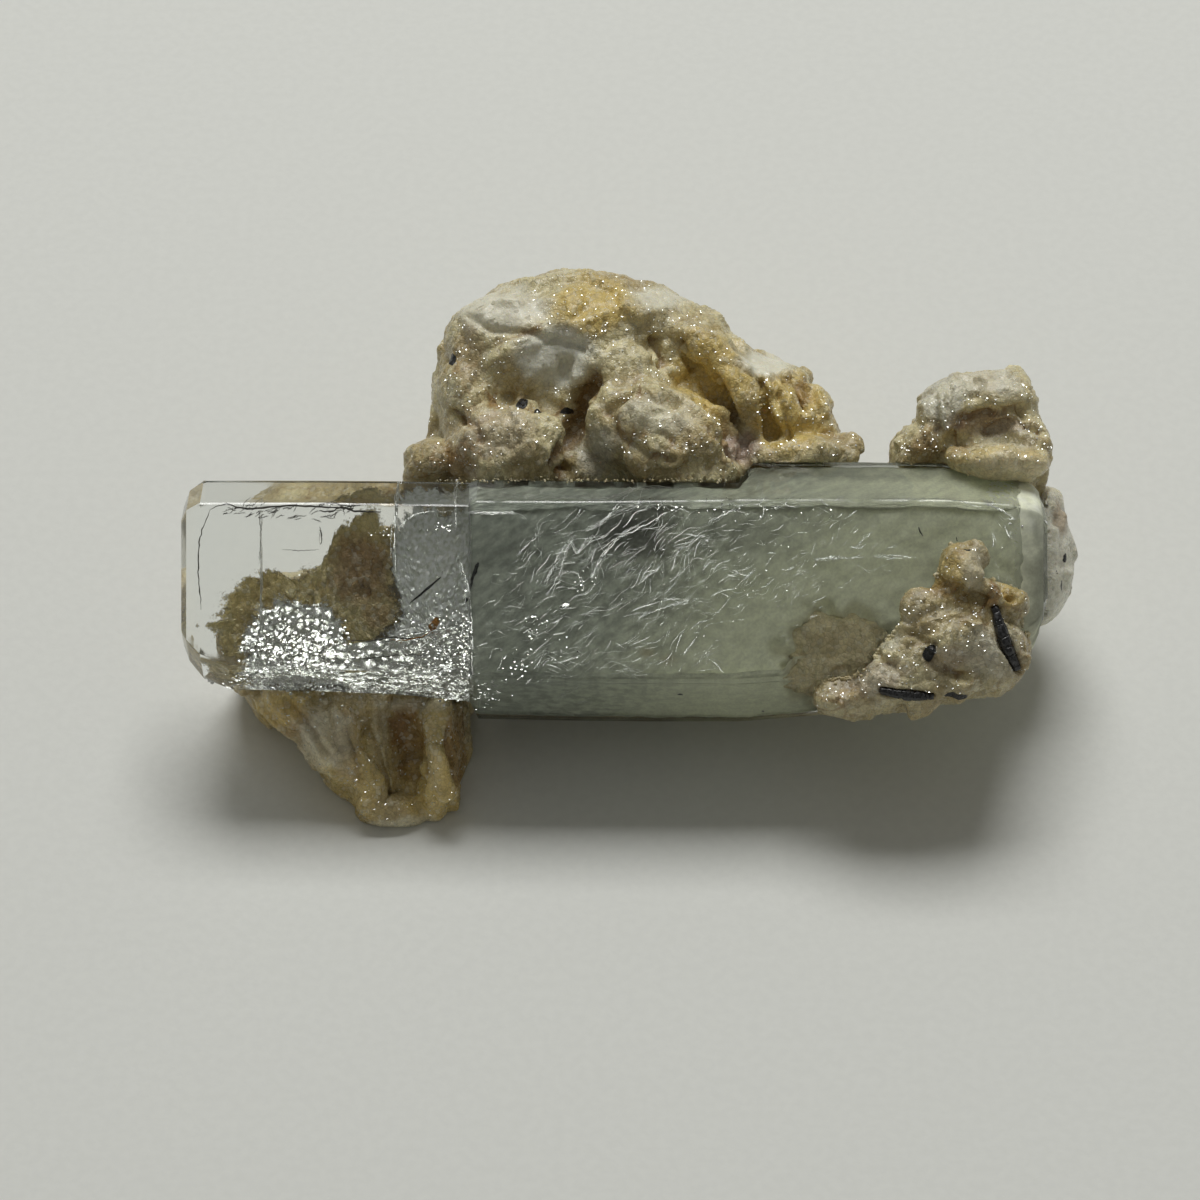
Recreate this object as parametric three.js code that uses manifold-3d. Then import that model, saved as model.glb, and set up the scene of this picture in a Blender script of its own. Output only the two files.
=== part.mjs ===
// An aquamarine prism lying on lumps of albite, with black schorl needles in the matrix.
// Sizes are in millimetres. The finished group is +Z up, with its origin under the middle of its box.
//
// The minerals are laid out in the crystal's own frame: x runs along the prism from its clear tip,
// y runs across its broad face and z points out of that face. The whole frame leans back by LEAN.
import * as THREE from "three";
import { mergeVertices } from "three/addons/utils/BufferGeometryUtils.js";
import Module from "manifold-3d";

const wasm = await Module();
wasm.setup();

// Driving dimensions
const LEAN = THREE.MathUtils.degToRad(40); // how far the broad face is tipped back from facing straight up
const AXIS_HEIGHT = 8.6; // from the table to the frame's x axis
const CONTACT_GAP = 0.3; // air left between two minerals that touch
const NEEDLE_GAP = 0.12; // air round a schorl needle in its socket
const EDGE_BEVEL = 0.18; // worn width of the prism's edges
const CORNER_SPREAD = 2 / Math.sqrt(3); // how far a 120 degree corner moves when its faces move out by one
const GROUND_SIDE = 120; // side of the block that trims everything flat at the table
const FAR_IN_FRONT = 40; // clear of every rock, towards the viewer
const FRONT_GATHER = 0.4; // shifts a rock's triangles towards its front, where the detail is
const RIM_CALM = 0.35; // share of a rock's swells that is left at its silhouette
const LUMP_SWELL = 0.55; // how high the swells on a lump stand
const LUMP_SWELL_SIZE = 2.1;
const LUMP_BLOCKINESS = 0.88; // below 1 a lump is squarer than an egg
const LARGE_LUMP = 2.5; // half size above which a lump gets finer triangles

// Colours and finishes
const AQUAMARINE = { color: 0xb9cbc6, roughness: 0.12, metalness: 0 };
const ALBITE_CREAM = { color: 0xb9a57c, roughness: 0.75, metalness: 0 };
const ALBITE_OCHRE = { color: 0x8f7545, roughness: 0.8, metalness: 0 };
const ALBITE_GREY = { color: 0xb4ab9c, roughness: 0.6, metalness: 0 };
const SCHORL = { color: 0x16171a, roughness: 0.35, metalness: 0 };

// The prism, as sections from the clear tip to the broken end. top and bottom are its silhouette,
// front and back its two broad faces, and chip is what has broken off its upper edge.
const PRISM = [
  { x: -20.75, top: 4.7, bottom: -2.3, front: 1.8, back: -0.9, chip: 0 },
  { x: -20.45, top: 5.5, bottom: -3.1, front: 2.35, back: -1.4, chip: 0 },
  { x: -19.75, top: 6.0, bottom: -3.95, front: 2.6, back: -1.6, chip: 0 },
  { x: -18.4, top: 6.0, bottom: -4.5, front: 2.6, back: -1.6, chip: 0 },
  { x: -14.0, top: 6.0, bottom: -4.6, front: 2.6, back: -1.6, chip: 0 },
  { x: -10.2, top: 5.97, bottom: -4.75, front: 2.6, back: -1.7, chip: 0 },
  { x: -6.5, top: 5.95, bottom: -5.1, front: 2.6, back: -1.8, chip: 0.1 },
  { x: -6.1, top: 6.85, bottom: -6.0, front: 2.7, back: -4.1, chip: 1.4 },
  { x: -2.0, top: 6.9, bottom: -6.1, front: 2.7, back: -4.3, chip: 1.6 },
  { x: 2.2, top: 6.95, bottom: -6.15, front: 2.7, back: -4.4, chip: 1.8 },
  { x: 6.9, top: 7.0, bottom: -6.15, front: 2.7, back: -4.4, chip: 1.9 },
  { x: 7.7, top: 7.0, bottom: -6.1, front: 2.7, back: -4.4, chip: 0.1 },
  { x: 13.0, top: 7.0, bottom: -5.7, front: 2.7, back: -4.4, chip: 0.05 },
  { x: 17.0, top: 6.95, bottom: -4.9, front: 2.65, back: -4.3, chip: 0.05 },
  { x: 20.4, top: 6.6, bottom: -3.9, front: 2.5, back: -4.0, chip: 0.1 },
  { x: 21.7, top: 6.0, bottom: -2.6, front: 2.1, back: -3.4, chip: 0.1 },
  { x: 22.25, top: 5.2, bottom: -1.2, front: 1.4, back: -2.6, chip: 0 },
];

// A rounded lump of grains: its middle, its half sizes along, across and through, and its turn in degrees.
const lump = (at, size, turn = 0) => ({ at, size, turn });

// The rocks. Each has a body round its heart: outline is its silhouette square on to the broad face, front
// and back are how far it reaches out of that plane, and squareness makes it blocky. planes are cleavage
// faces, each a direction in the same frame and its distance from the heart. lumps have grown on it.
const BACK_BLOCK = {
  heart: [0.8, 7.4, -6.2],
  front: 4.4,
  back: 10.5,
  squareness: 2.7,
  detail: 7,
  swellSize: 3.4,
  swellHeight: 0.8,
  outline: [
    [-10.1, 6.4], [-9.3, 7.5], [-8.7, 8.8], [-8.55, 10.6], [-8.4, 12.3], [-7.8, 14.0], [-6.7, 15.7],
    [-5.3, 16.4], [-3.1, 16.6], [-1.6, 16.9], [0.4, 16.9], [2.1, 16.4], [4.0, 15.7], [5.4, 14.7],
    [7.1, 13.3], [7.6, 12.9], [9.9, 12.0], [10.8, 11.4], [11.5, 9.9], [12.0, 8.7], [13.3, 7.9],
    [13.3, 6.8], [11.6, 4.0], [9.5, 1.0], [5.0, -1.2], [-1.0, -1.8], [-6.0, -0.6], [-9.4, 2.6],
  ],
  planes: [
    { toward: [0.12, 0.8, -0.6], at: 9.2 },
    { toward: [-0.55, 0.8, 0.25], at: 9.6 },
    { toward: [-0.4, 0.55, 0.72], at: 7.4 },
    { toward: [0.55, 0.75, 0.1], at: 9.4 },
    { toward: [-1.0, 0.05, -0.2], at: 9.5 },
    { toward: [0.2, 0.85, 0.5], at: 8.7 },
  ],
  lumps: [
    lump([-0.5, 13.7, -5.6], [5.6, 3.1, 4.4], -5),
    lump([-4.5, 12.7, -4.3], [3.5, 3.2, 3.3], 25),
    lump([-6.3, 10.2, -3.7], [2.1, 2.6, 2.7], 8),
    lump([-4.6, 7.8, -2.5], [3.2, 2.5, 3.1], 5),
    lump([3.2, 8.2, -2.1], [4.5, 2.7, 3.4], -27),
    lump([1.0, 11.3, -3.4], [3.2, 2.0, 3.0], -20),
    lump([5.7, 12.4, -3.5], [3.0, 1.2, 2.4], -38),
    lump([6.7, 10.6, -2.9], [2.3, 1.0, 2.1], -50),
    lump([9.1, 9.8, -3.4], [2.5, 0.8, 2.0], -62),
    lump([10.3, 9.7, -3.6], [2.3, 0.7, 1.9], -67),
    lump([11.3, 9.2, -3.7], [2.0, 0.6, 1.6], -72),
    lump([9.9, 7.4, -2.2], [2.8, 0.95, 1.8], 4),
    lump([12.6, 7.6, -2.3], [0.8, 0.65, 1.1]),
    lump([-8.6, 6.9, -3.2], [1.5, 1.1, 2.0], 35),
  ],
};

const FOOT = {
  heart: [-12.3, -4.4, -4.6],
  front: 3.5,
  back: 5.0,
  squareness: 2.6,
  detail: 5,
  swellSize: 2.8,
  swellHeight: 0.5,
  outline: [
    [-6.5, -5.6], [-6.7, -7.0], [-6.9, -9.5], [-7.25, -10.9], [-9.0, -11.5], [-10.8, -11.85],
    [-12.8, -11.1], [-13.9, -9.8], [-14.6, -8.3], [-15.6, -7.0], [-17.1, -6.1], [-18.1, -4.9],
    [-19.6, -2.6], [-19.7, -0.5], [-18.0, 1.0], [-15.0, 1.4], [-13.2, 2.0], [-11.5, 4.0], [-10.0, 4.9],
    [-9.5, 2.0], [-7.6, -2.2],
  ],
  planes: [
    { toward: [0.1, 0.75, -0.65], at: 6.0 },
    { toward: [1.0, 0.2, -0.15], at: 5.6 },
    { toward: [-0.85, 0.5, -0.4], at: 6.4 },
  ],
  lumps: [
    lump([-15.6, -5.5, -2.7], [2.4, 1.2, 2.3], -45),
    lump([-14.0, -7.0, -2.4], [3.2, 1.15, 2.5], -57),
    lump([-12.3, -8.0, -2.2], [3.6, 1.1, 2.5], -71),
    lump([-8.2, -7.8, -2.3], [3.5, 1.2, 2.5], -95),
    lump([-10.3, -10.7, -2.5], [2.1, 0.95, 1.8], 3),
  ],
};

const RIGHT_BLOCK = {
  heart: [18.5, 7.6, -3.2],
  front: 2.4,
  back: 5.2,
  squareness: 2.6,
  detail: 4,
  swellSize: 2.4,
  swellHeight: 0.4,
  outline: [
    [14.7, 7.2], [15.0, 8.2], [16.2, 8.85], [16.3, 10.1], [16.9, 10.9], [18.3, 11.5], [20.1, 11.75],
    [21.3, 11.7], [21.8, 10.9], [22.0, 9.8], [22.6, 8.75], [22.9, 7.9], [22.6, 6.4], [22.3, 5.0],
    [21.0, 3.4], [17.5, 3.0], [15.2, 4.2],
  ],
  planes: [
    { toward: [0.1, 0.75, -0.65], at: 4.6 },
    { toward: [-0.5, 0.7, 0.5], at: 4.2 },
    { toward: [0.9, 0.4, -0.2], at: 4.3 },
  ],
  lumps: [
    lump([17.7, 9.5, -1.9], [1.9, 1.6, 2.1], 30),
    lump([20.2, 10.0, -2.0], [2.0, 1.6, 2.1], -12),
    lump([21.5, 8.2, -1.6], [1.2, 1.7, 1.9], 10),
    lump([16.0, 7.9, -1.6], [1.4, 1.0, 1.7], 25),
    lump([20.0, 7.0, -0.2], [2.6, 0.8, 1.7], -3),
  ],
};

const END_KNOB = {
  heart: [21.0, 2.2, -4.6],
  front: 4.1,
  back: 4.2,
  squareness: 2.4,
  detail: 4,
  swellSize: 3.2,
  swellHeight: 0.3,
  outline: [
    [22.6, 5.9], [23.6, 5.6], [23.6, 4.8], [23.75, 3.6], [24.1, 2.7], [24.3, 1.9], [24.1, 0.75],
    [23.7, -0.25], [23.1, -1.1], [22.1, -1.5], [20.4, -1.5], [18.6, -0.6], [17.9, 1.8], [18.6, 4.3],
    [20.4, 5.7],
  ],
  planes: [
    { toward: [0.2, 0.6, -0.75], at: 3.9 },
    { toward: [-0.8, 0.1, -0.6], at: 3.3 },
  ],
  lumps: [],
};

const FRONT_CLUSTER = {
  heart: [16.4, -2.9, 1.2],
  front: 2.9,
  back: 3.6,
  squareness: 2.5,
  detail: 4,
  swellSize: 1.9,
  swellHeight: 0.35,
  outline: [
    [18.0, 2.3], [17.0, 1.9], [16.0, 1.0], [15.2, 0.3], [15.0, -0.5], [14.1, -1.2], [13.6, -2.0],
    [12.9, -3.0], [12.0, -4.1], [10.3, -4.9], [10.5, -5.5], [12.4, -5.9], [14.7, -5.7],
    [17.0, -5.1], [19.0, -4.65], [20.3, -4.15], [21.1, -3.7], [21.3, -3.2], [21.3, -1.7], [21.2, 0.2],
    [20.7, 0.8], [19.8, 1.0], [19.0, 1.4],
  ],
  planes: [{ toward: [0.3, -0.6, -0.8], at: 4.2 }],
  lumps: [
    lump([17.7, 1.2, 2.4], [2.0, 1.25, 1.9], 75),
    lump([16.1, -0.5, 2.6], [1.2, 1.1, 1.5]),
    lump([19.6, 0.0, 2.5], [1.5, 1.0, 1.5], -20),
    lump([16.9, -2.1, 3.1], [1.7, 1.2, 1.5], 10),
    lump([19.2, -2.4, 2.6], [2.0, 1.8, 1.6], -15),
    lump([14.8, -3.7, 2.7], [1.9, 1.4, 1.6], 20),
    lump([12.4, -4.7, 1.9], [1.9, 0.85, 1.4], 8),
    lump([17.8, -4.0, 2.3], [2.5, 0.9, 1.6], 10),
  ],
};

// The schorl lies in the face of the front cluster: its ends square on to the broad face, and half widths.
const NEEDLES = {
  schorl_needle: { from: [19.35, -0.3], to: [20.55, -3.45], bend: 0.16, thin: 0.2, thick: 0.34, sunk: 0.1 },
  schorl_sliver: { from: [13.7, -4.4], to: [16.4, -4.7], bend: 0.1, thin: 0.18, thick: 0.3, sunk: 0.12 },
};
const NEEDLE_SIDES = 6;
const NEEDLE_STEPS = 6;

// A closed skin over rings of equally many points, with flat ends.
function loft(rings) {
  const sides = rings[0].length;
  const points = rings.flat();
  const index = [];
  for (let ring = 0; ring < rings.length - 1; ring++) {
    for (let side = 0; side < sides; side++) {
      const a = ring * sides + side;
      const b = ring * sides + ((side + 1) % sides);
      index.push(a, a + sides, b, b, a + sides, b + sides);
    }
  }
  const last = (rings.length - 1) * sides;
  for (let side = 1; side < sides - 1; side++) {
    index.push(0, side, side + 1);
    index.push(last, last + side + 1, last + side);
  }
  const geometry = new THREE.BufferGeometry().setFromPoints(points);
  geometry.setIndex(index);
  return geometry;
}

// One cross-section of the prism: a hexagon with 120 degree corners, each corner bevelled, grown by swell.
function prismRing({ x, top, bottom, front, back, chip }, swell) {
  const high = top + swell * CORNER_SPREAD;
  const low = bottom - swell * CORNER_SPREAD;
  const out = front + swell;
  const rear = back - swell;
  const middle = (out + rear) / 2;
  const band = (out - rear) / 2 / Math.sqrt(3);
  const corners = [
    [high, middle], [high - band, rear], [low + band, rear], [low, middle], [low + band, out], [high - band, out],
  ];
  const ring = [];
  corners.forEach(([y, z], i) => {
    const cut = EDGE_BEVEL + (i === 0 ? chip * CORNER_SPREAD : 0);
    for (const step of [-1, 1]) {
      const [nextY, nextZ] = corners[(i + step + corners.length) % corners.length];
      const share = cut / Math.hypot(nextY - y, nextZ - z);
      ring.push(new THREE.Vector3(x, y + (nextY - y) * share, z + (nextZ - z) * share));
    }
  });
  return ring;
}

function prism(swell = 0) {
  const rings = PRISM.map((section) => prismRing(section, swell));
  rings[0].forEach((point) => (point.x -= swell));
  rings.at(-1).forEach((point) => (point.x += swell));
  return loft(rings);
}

// The silhouette's distance from the heart at an angle, straight from point to point.
function outlineReach({ heart, outline }) {
  const spokes = outline
    .map(([x, y]) => [Math.atan2(y - heart[1], x - heart[0]), Math.hypot(x - heart[0], y - heart[1])])
    .sort((a, b) => a[0] - b[0]);
  const turn = 2 * Math.PI;
  const first = spokes[0];
  const last = spokes.at(-1);
  const round = [[last[0] - turn, last[1]], ...spokes, [first[0] + turn, first[1]]];
  return (angle) => {
    const i = round.findIndex(([a]) => a > angle);
    const [a0, r0] = round[i - 1];
    const [a1, r1] = round[i];
    return r0 + ((r1 - r0) * (angle - a0)) / (a1 - a0);
  };
}

// Rounded swells with sharp valleys between them: the mean of |sin| waves that run in evenly spread directions.
const WAVES = 5;
const WAVE_SHIFT = 1.7;
const GOLDEN_ANGLE = Math.PI * (3 - Math.sqrt(5));
const MEAN_OF_ABS_SINE = 2 / Math.PI;
function swells(point, size) {
  let sum = 0;
  for (let i = 0; i < WAVES; i++) {
    const up = 1 - (i + 0.5) / WAVES;
    const flat = Math.sqrt(1 - up * up);
    const turn = i * GOLDEN_ANGLE;
    const along = point.x * flat * Math.cos(turn) + point.y * flat * Math.sin(turn) + point.z * up;
    sum += Math.abs(Math.sin((Math.PI * along) / size + WAVE_SHIFT * i));
  }
  return sum / WAVES - MEAN_OF_ABS_SINE;
}

// A ball of triangles whose every vertex is moved by place().
function shapedBall(detail, place) {
  const ball = new THREE.IcosahedronGeometry(1, detail);
  ball.deleteAttribute("normal");
  ball.deleteAttribute("uv");
  const geometry = mergeVertices(ball);
  const places = geometry.getAttribute("position");
  for (let i = 0; i < places.count; i++) {
    const point = place(new THREE.Vector3().fromBufferAttribute(places, i));
    places.setXYZ(i, point.x, point.y, point.z);
  }
  return geometry;
}

// The rock's body: a rounded block whose silhouette is the outline, swollen all over and cut by its planes.
function rockBody(rock, grow) {
  const reach = outlineReach(rock);
  const heart = new THREE.Vector3(...rock.heart);
  const planes = rock.planes.map(({ toward, at }) => ({ normal: new THREE.Vector3(...toward).normalize(), at }));
  return shapedBall(rock.detail, (ball) => {
    const direction = ball.add(new THREE.Vector3(0, 0, FRONT_GATHER)).normalize();
    const flat = Math.hypot(direction.x, direction.y) / reach(Math.atan2(direction.y, direction.x));
    const deep = Math.abs(direction.z) / (direction.z > 0 ? rock.front : rock.back);
    let radius = (flat ** rock.squareness + deep ** rock.squareness) ** (-1 / rock.squareness);
    const swell = swells(heart.clone().addScaledVector(direction, radius), rock.swellSize);
    const facing = THREE.MathUtils.smoothstep(Math.abs(direction.z), 0, RIM_CALM);
    radius += rock.swellHeight * swell * (RIM_CALM + (1 - RIM_CALM) * facing);
    for (const { normal, at } of planes) {
      const toward = normal.dot(direction);
      if (toward > 0) radius = Math.min(radius, at / toward);
    }
    return heart.clone().addScaledVector(direction, radius + grow);
  });
}

function lumpBody({ at, size, turn }, grow) {
  const axis = new THREE.Vector3(0, 0, 1);
  const half = new THREE.Vector3(...size);
  const detail = Math.max(...size) > LARGE_LUMP ? 3 : 2;
  return shapedBall(detail, (ball) => {
    const blocky = ball.toArray().map((c) => Math.sign(c) * Math.abs(c) ** LUMP_BLOCKINESS);
    const point = new THREE.Vector3(...blocky).multiply(half);
    const swell = LUMP_SWELL * swells(point.clone().add(new THREE.Vector3(...at)), LUMP_SWELL_SIZE);
    point.addScaledVector(ball, swell + grow).applyAxisAngle(axis, THREE.MathUtils.degToRad(turn));
    return point.add(new THREE.Vector3(...at));
  });
}

function rockSolid(rock, grow = 0) {
  return rock.lumps.reduce(
    (whole, shape) => whole.add(toSolid(lumpBody(shape, grow))),
    toSolid(rockBody(rock, grow)),
  );
}

// The height of a solid's face at (x, y), seen square on to the broad face.
function faceAt(solid, [x, y]) {
  const mesh = toMesh("face", solid, {});
  mesh.material.side = THREE.DoubleSide;
  const ray = new THREE.Raycaster(new THREE.Vector3(x, y, FAR_IN_FRONT), new THREE.Vector3(0, 0, -1));
  return ray.intersectObject(mesh)[0].point.z;
}

// A needle: six-sided rings along a line that follows the rock's face from end to end, bent a little sideways.
function needle(rock, { from, to, bend, thin, thick, sunk }, swell = 0) {
  const halfway = [(from[0] + to[0]) / 2, (from[1] + to[1]) / 2];
  const [start, middle, end] = [from, halfway, to].map(
    (spot) => new THREE.Vector3(...spot, faceAt(rock, spot) - sunk),
  );
  const along = end.clone().sub(start).normalize();
  const across = new THREE.Vector3().crossVectors(along, new THREE.Vector3(0, 0, 1)).normalize();
  const up = new THREE.Vector3().crossVectors(across, along);
  const rise = Math.max(middle.clone().sub(start.clone().lerp(end, 0.5)).dot(up), 0);
  start.addScaledVector(along, -swell);
  end.addScaledVector(along, swell);
  const rings = [];
  for (let step = 0; step <= NEEDLE_STEPS; step++) {
    const t = step / NEEDLE_STEPS;
    const bow = Math.sin(Math.PI * t);
    const centre = start.clone().lerp(end, t).addScaledVector(across, bend * bow).addScaledVector(up, rise * bow);
    const half = thin + (thick - thin) * bow + swell;
    const ring = [];
    for (let side = 0; side < NEEDLE_SIDES; side++) {
      const turn = (2 * Math.PI * side) / NEEDLE_SIDES;
      const edge = across.clone().multiplyScalar(half * Math.cos(turn));
      ring.push(edge.addScaledVector(up, half * Math.sin(turn)).add(centre));
    }
    rings.push(ring);
  }
  return loft(rings);
}

function toSolid(geometry) {
  const bare = new THREE.BufferGeometry().setAttribute("position", geometry.getAttribute("position"));
  bare.setIndex(geometry.index);
  const merged = mergeVertices(bare, 1e-4);
  return new wasm.Manifold(
    new wasm.Mesh({
      numProp: 3,
      vertProperties: new Float32Array(merged.getAttribute("position").array),
      triVerts: new Uint32Array(merged.index.array),
    }),
  );
}

// The largest body of a solid: a cut can leave crumbs beside it.
function largestOf(solid) {
  return solid.decompose().reduce((best, body) => (body.volume() > best.volume() ? body : best));
}

function toMesh(name, solid, finish) {
  const { vertProperties, triVerts } = largestOf(solid).getMesh();
  const geometry = new THREE.BufferGeometry();
  geometry.setAttribute("position", new THREE.BufferAttribute(new Float32Array(vertProperties), 3));
  geometry.setIndex(new THREE.BufferAttribute(new Uint32Array(triVerts), 1));
  geometry.computeVertexNormals();
  const mesh = new THREE.Mesh(geometry, new THREE.MeshStandardMaterial(finish));
  mesh.name = name;
  return mesh;
}

// The block of space below the table, in the crystal's frame.
function belowTable() {
  const block = new THREE.BoxGeometry(GROUND_SIDE, GROUND_SIDE, GROUND_SIDE);
  block.translate(0, 0, -GROUND_SIDE / 2 - AXIS_HEIGHT);
  block.rotateX(-LEAN);
  block.deleteAttribute("normal");
  block.deleteAttribute("uv");
  return toSolid(block);
}

const prismRoom = toSolid(prism(CONTACT_GAP));
const ground = belowTable();
const cluster = rockSolid(FRONT_CLUSTER).subtract(prismRoom);
const rightBlockRoom = rockSolid(RIGHT_BLOCK, CONTACT_GAP);
const needles = Object.entries(NEEDLES).map(([name, shape]) => ({
  name,
  solid: toSolid(needle(cluster, shape)),
  room: toSolid(needle(cluster, shape, NEEDLE_GAP)),
}));

const specimen = new THREE.Group();
specimen.add(
  toMesh("aquamarine_prism", toSolid(prism()), AQUAMARINE),
  toMesh("albite_back_block", rockSolid(BACK_BLOCK).subtract(prismRoom).subtract(ground), ALBITE_CREAM),
  toMesh("albite_foot", rockSolid(FOOT).subtract(prismRoom).subtract(ground), ALBITE_OCHRE),
  toMesh("albite_right_block", rockSolid(RIGHT_BLOCK).subtract(prismRoom), ALBITE_CREAM),
  toMesh(
    "albite_end_knob",
    rockSolid(END_KNOB).subtract(prismRoom).subtract(rightBlockRoom),
    ALBITE_GREY,
  ),
  toMesh(
    "albite_front_cluster",
    needles.reduce((rock, { room }) => rock.subtract(room), cluster),
    ALBITE_CREAM,
  ),
  ...needles.map(({ name, solid }) => toMesh(name, solid, SCHORL)),
);

// Stand it on the table with its box centred over the origin.
specimen.rotation.x = LEAN;
specimen.updateMatrixWorld(true);
const box = new THREE.Box3().setFromObject(specimen, true);
const middle = box.getCenter(new THREE.Vector3());
specimen.position.set(-middle.x, -middle.y, -box.min.z);

export default specimen;
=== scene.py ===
"""Looks of an aquamarine prism on albite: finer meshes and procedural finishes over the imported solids.

The minerals are laid out in the prism's own leaning frame, in millimetres: x runs along the prism from
its clear tip, y across its broad face and z out of that face. to_row() turns that frame into the row's.
"""

import math

import bmesh
import bpy
import numpy as np
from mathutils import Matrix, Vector


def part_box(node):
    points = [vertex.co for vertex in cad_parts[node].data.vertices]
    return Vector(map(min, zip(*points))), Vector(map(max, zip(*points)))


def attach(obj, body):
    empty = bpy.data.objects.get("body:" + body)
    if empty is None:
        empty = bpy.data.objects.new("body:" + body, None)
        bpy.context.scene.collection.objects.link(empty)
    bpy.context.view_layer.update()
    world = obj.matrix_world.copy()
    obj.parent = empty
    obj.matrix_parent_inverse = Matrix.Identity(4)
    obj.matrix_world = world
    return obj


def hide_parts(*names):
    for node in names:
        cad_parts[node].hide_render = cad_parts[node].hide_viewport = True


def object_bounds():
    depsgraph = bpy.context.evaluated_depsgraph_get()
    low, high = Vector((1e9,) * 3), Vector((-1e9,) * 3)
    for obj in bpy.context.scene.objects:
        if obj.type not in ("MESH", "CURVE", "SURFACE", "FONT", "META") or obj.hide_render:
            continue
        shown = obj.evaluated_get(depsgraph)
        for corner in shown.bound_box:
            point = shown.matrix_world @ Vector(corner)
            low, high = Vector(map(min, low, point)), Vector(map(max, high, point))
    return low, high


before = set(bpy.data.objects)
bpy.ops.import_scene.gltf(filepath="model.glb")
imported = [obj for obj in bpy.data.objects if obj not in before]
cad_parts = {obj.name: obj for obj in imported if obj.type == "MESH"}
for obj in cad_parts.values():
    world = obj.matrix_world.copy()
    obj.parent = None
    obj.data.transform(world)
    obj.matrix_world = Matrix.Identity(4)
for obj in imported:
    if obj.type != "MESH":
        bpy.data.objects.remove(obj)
CAD_BOX = [list(corner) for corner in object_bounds()]

bl_info = {
    "name": "Aquamarine on albite",
    "version": (1, 0, 0),
    "blender": (4, 5, 0),
    "location": "View3D > Sidebar > Specimen",
    "description": "Builds the surfaces, flaws and finishes of an aquamarine prism on albite",
    "category": "Add Mesh",
}

MM = 0.001
EDGE_BEVEL = 0.18
WORN_BEVEL = 0.07
CORNER_SPREAD = 2 / math.sqrt(3)
BERYL_IOR = 1.577
# How steeply a flake inside the prism falls toward +y where it throws the window's light at the
# camera, seen through the front face and through the side face below it
LIT_SLOPE = 0.325
LIT_SLOPE_BELOW = 0.08

# Sections of the prism: x, top, bottom, front, back and the width chipped off the upper edge
PRISM = np.array(
    [
        (-20.75, 4.7, -2.3, 1.8, -0.9, 0),
        (-20.45, 5.5, -3.1, 2.35, -1.4, 0),
        (-19.75, 6.0, -3.95, 2.6, -1.6, 0),
        (-18.4, 6.0, -4.5, 2.6, -1.6, 0),
        (-14.0, 6.0, -4.6, 2.6, -1.6, 0),
        (-10.2, 5.97, -4.75, 2.6, -1.7, 0),
        (-6.5, 5.95, -5.1, 2.6, -1.8, 0.1),
        (-6.1, 6.85, -6.0, 2.7, -4.1, 1.4),
        (-2.0, 6.9, -6.1, 2.7, -4.3, 1.6),
        (2.2, 6.95, -6.15, 2.7, -4.4, 1.8),
        (6.9, 7.0, -6.15, 2.7, -4.4, 1.9),
        (7.7, 7.0, -6.1, 2.7, -4.4, 0.1),
        (13.0, 7.0, -5.7, 2.7, -4.4, 0.05),
        (17.0, 6.95, -4.9, 2.65, -4.3, 0.05),
        (20.4, 6.6, -3.9, 2.5, -4.0, 0.1),
        (21.7, 6.0, -2.6, 2.1, -3.4, 0.1),
        (22.25, 5.2, -1.2, 1.4, -2.6, 0),
    ]
)

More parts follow.
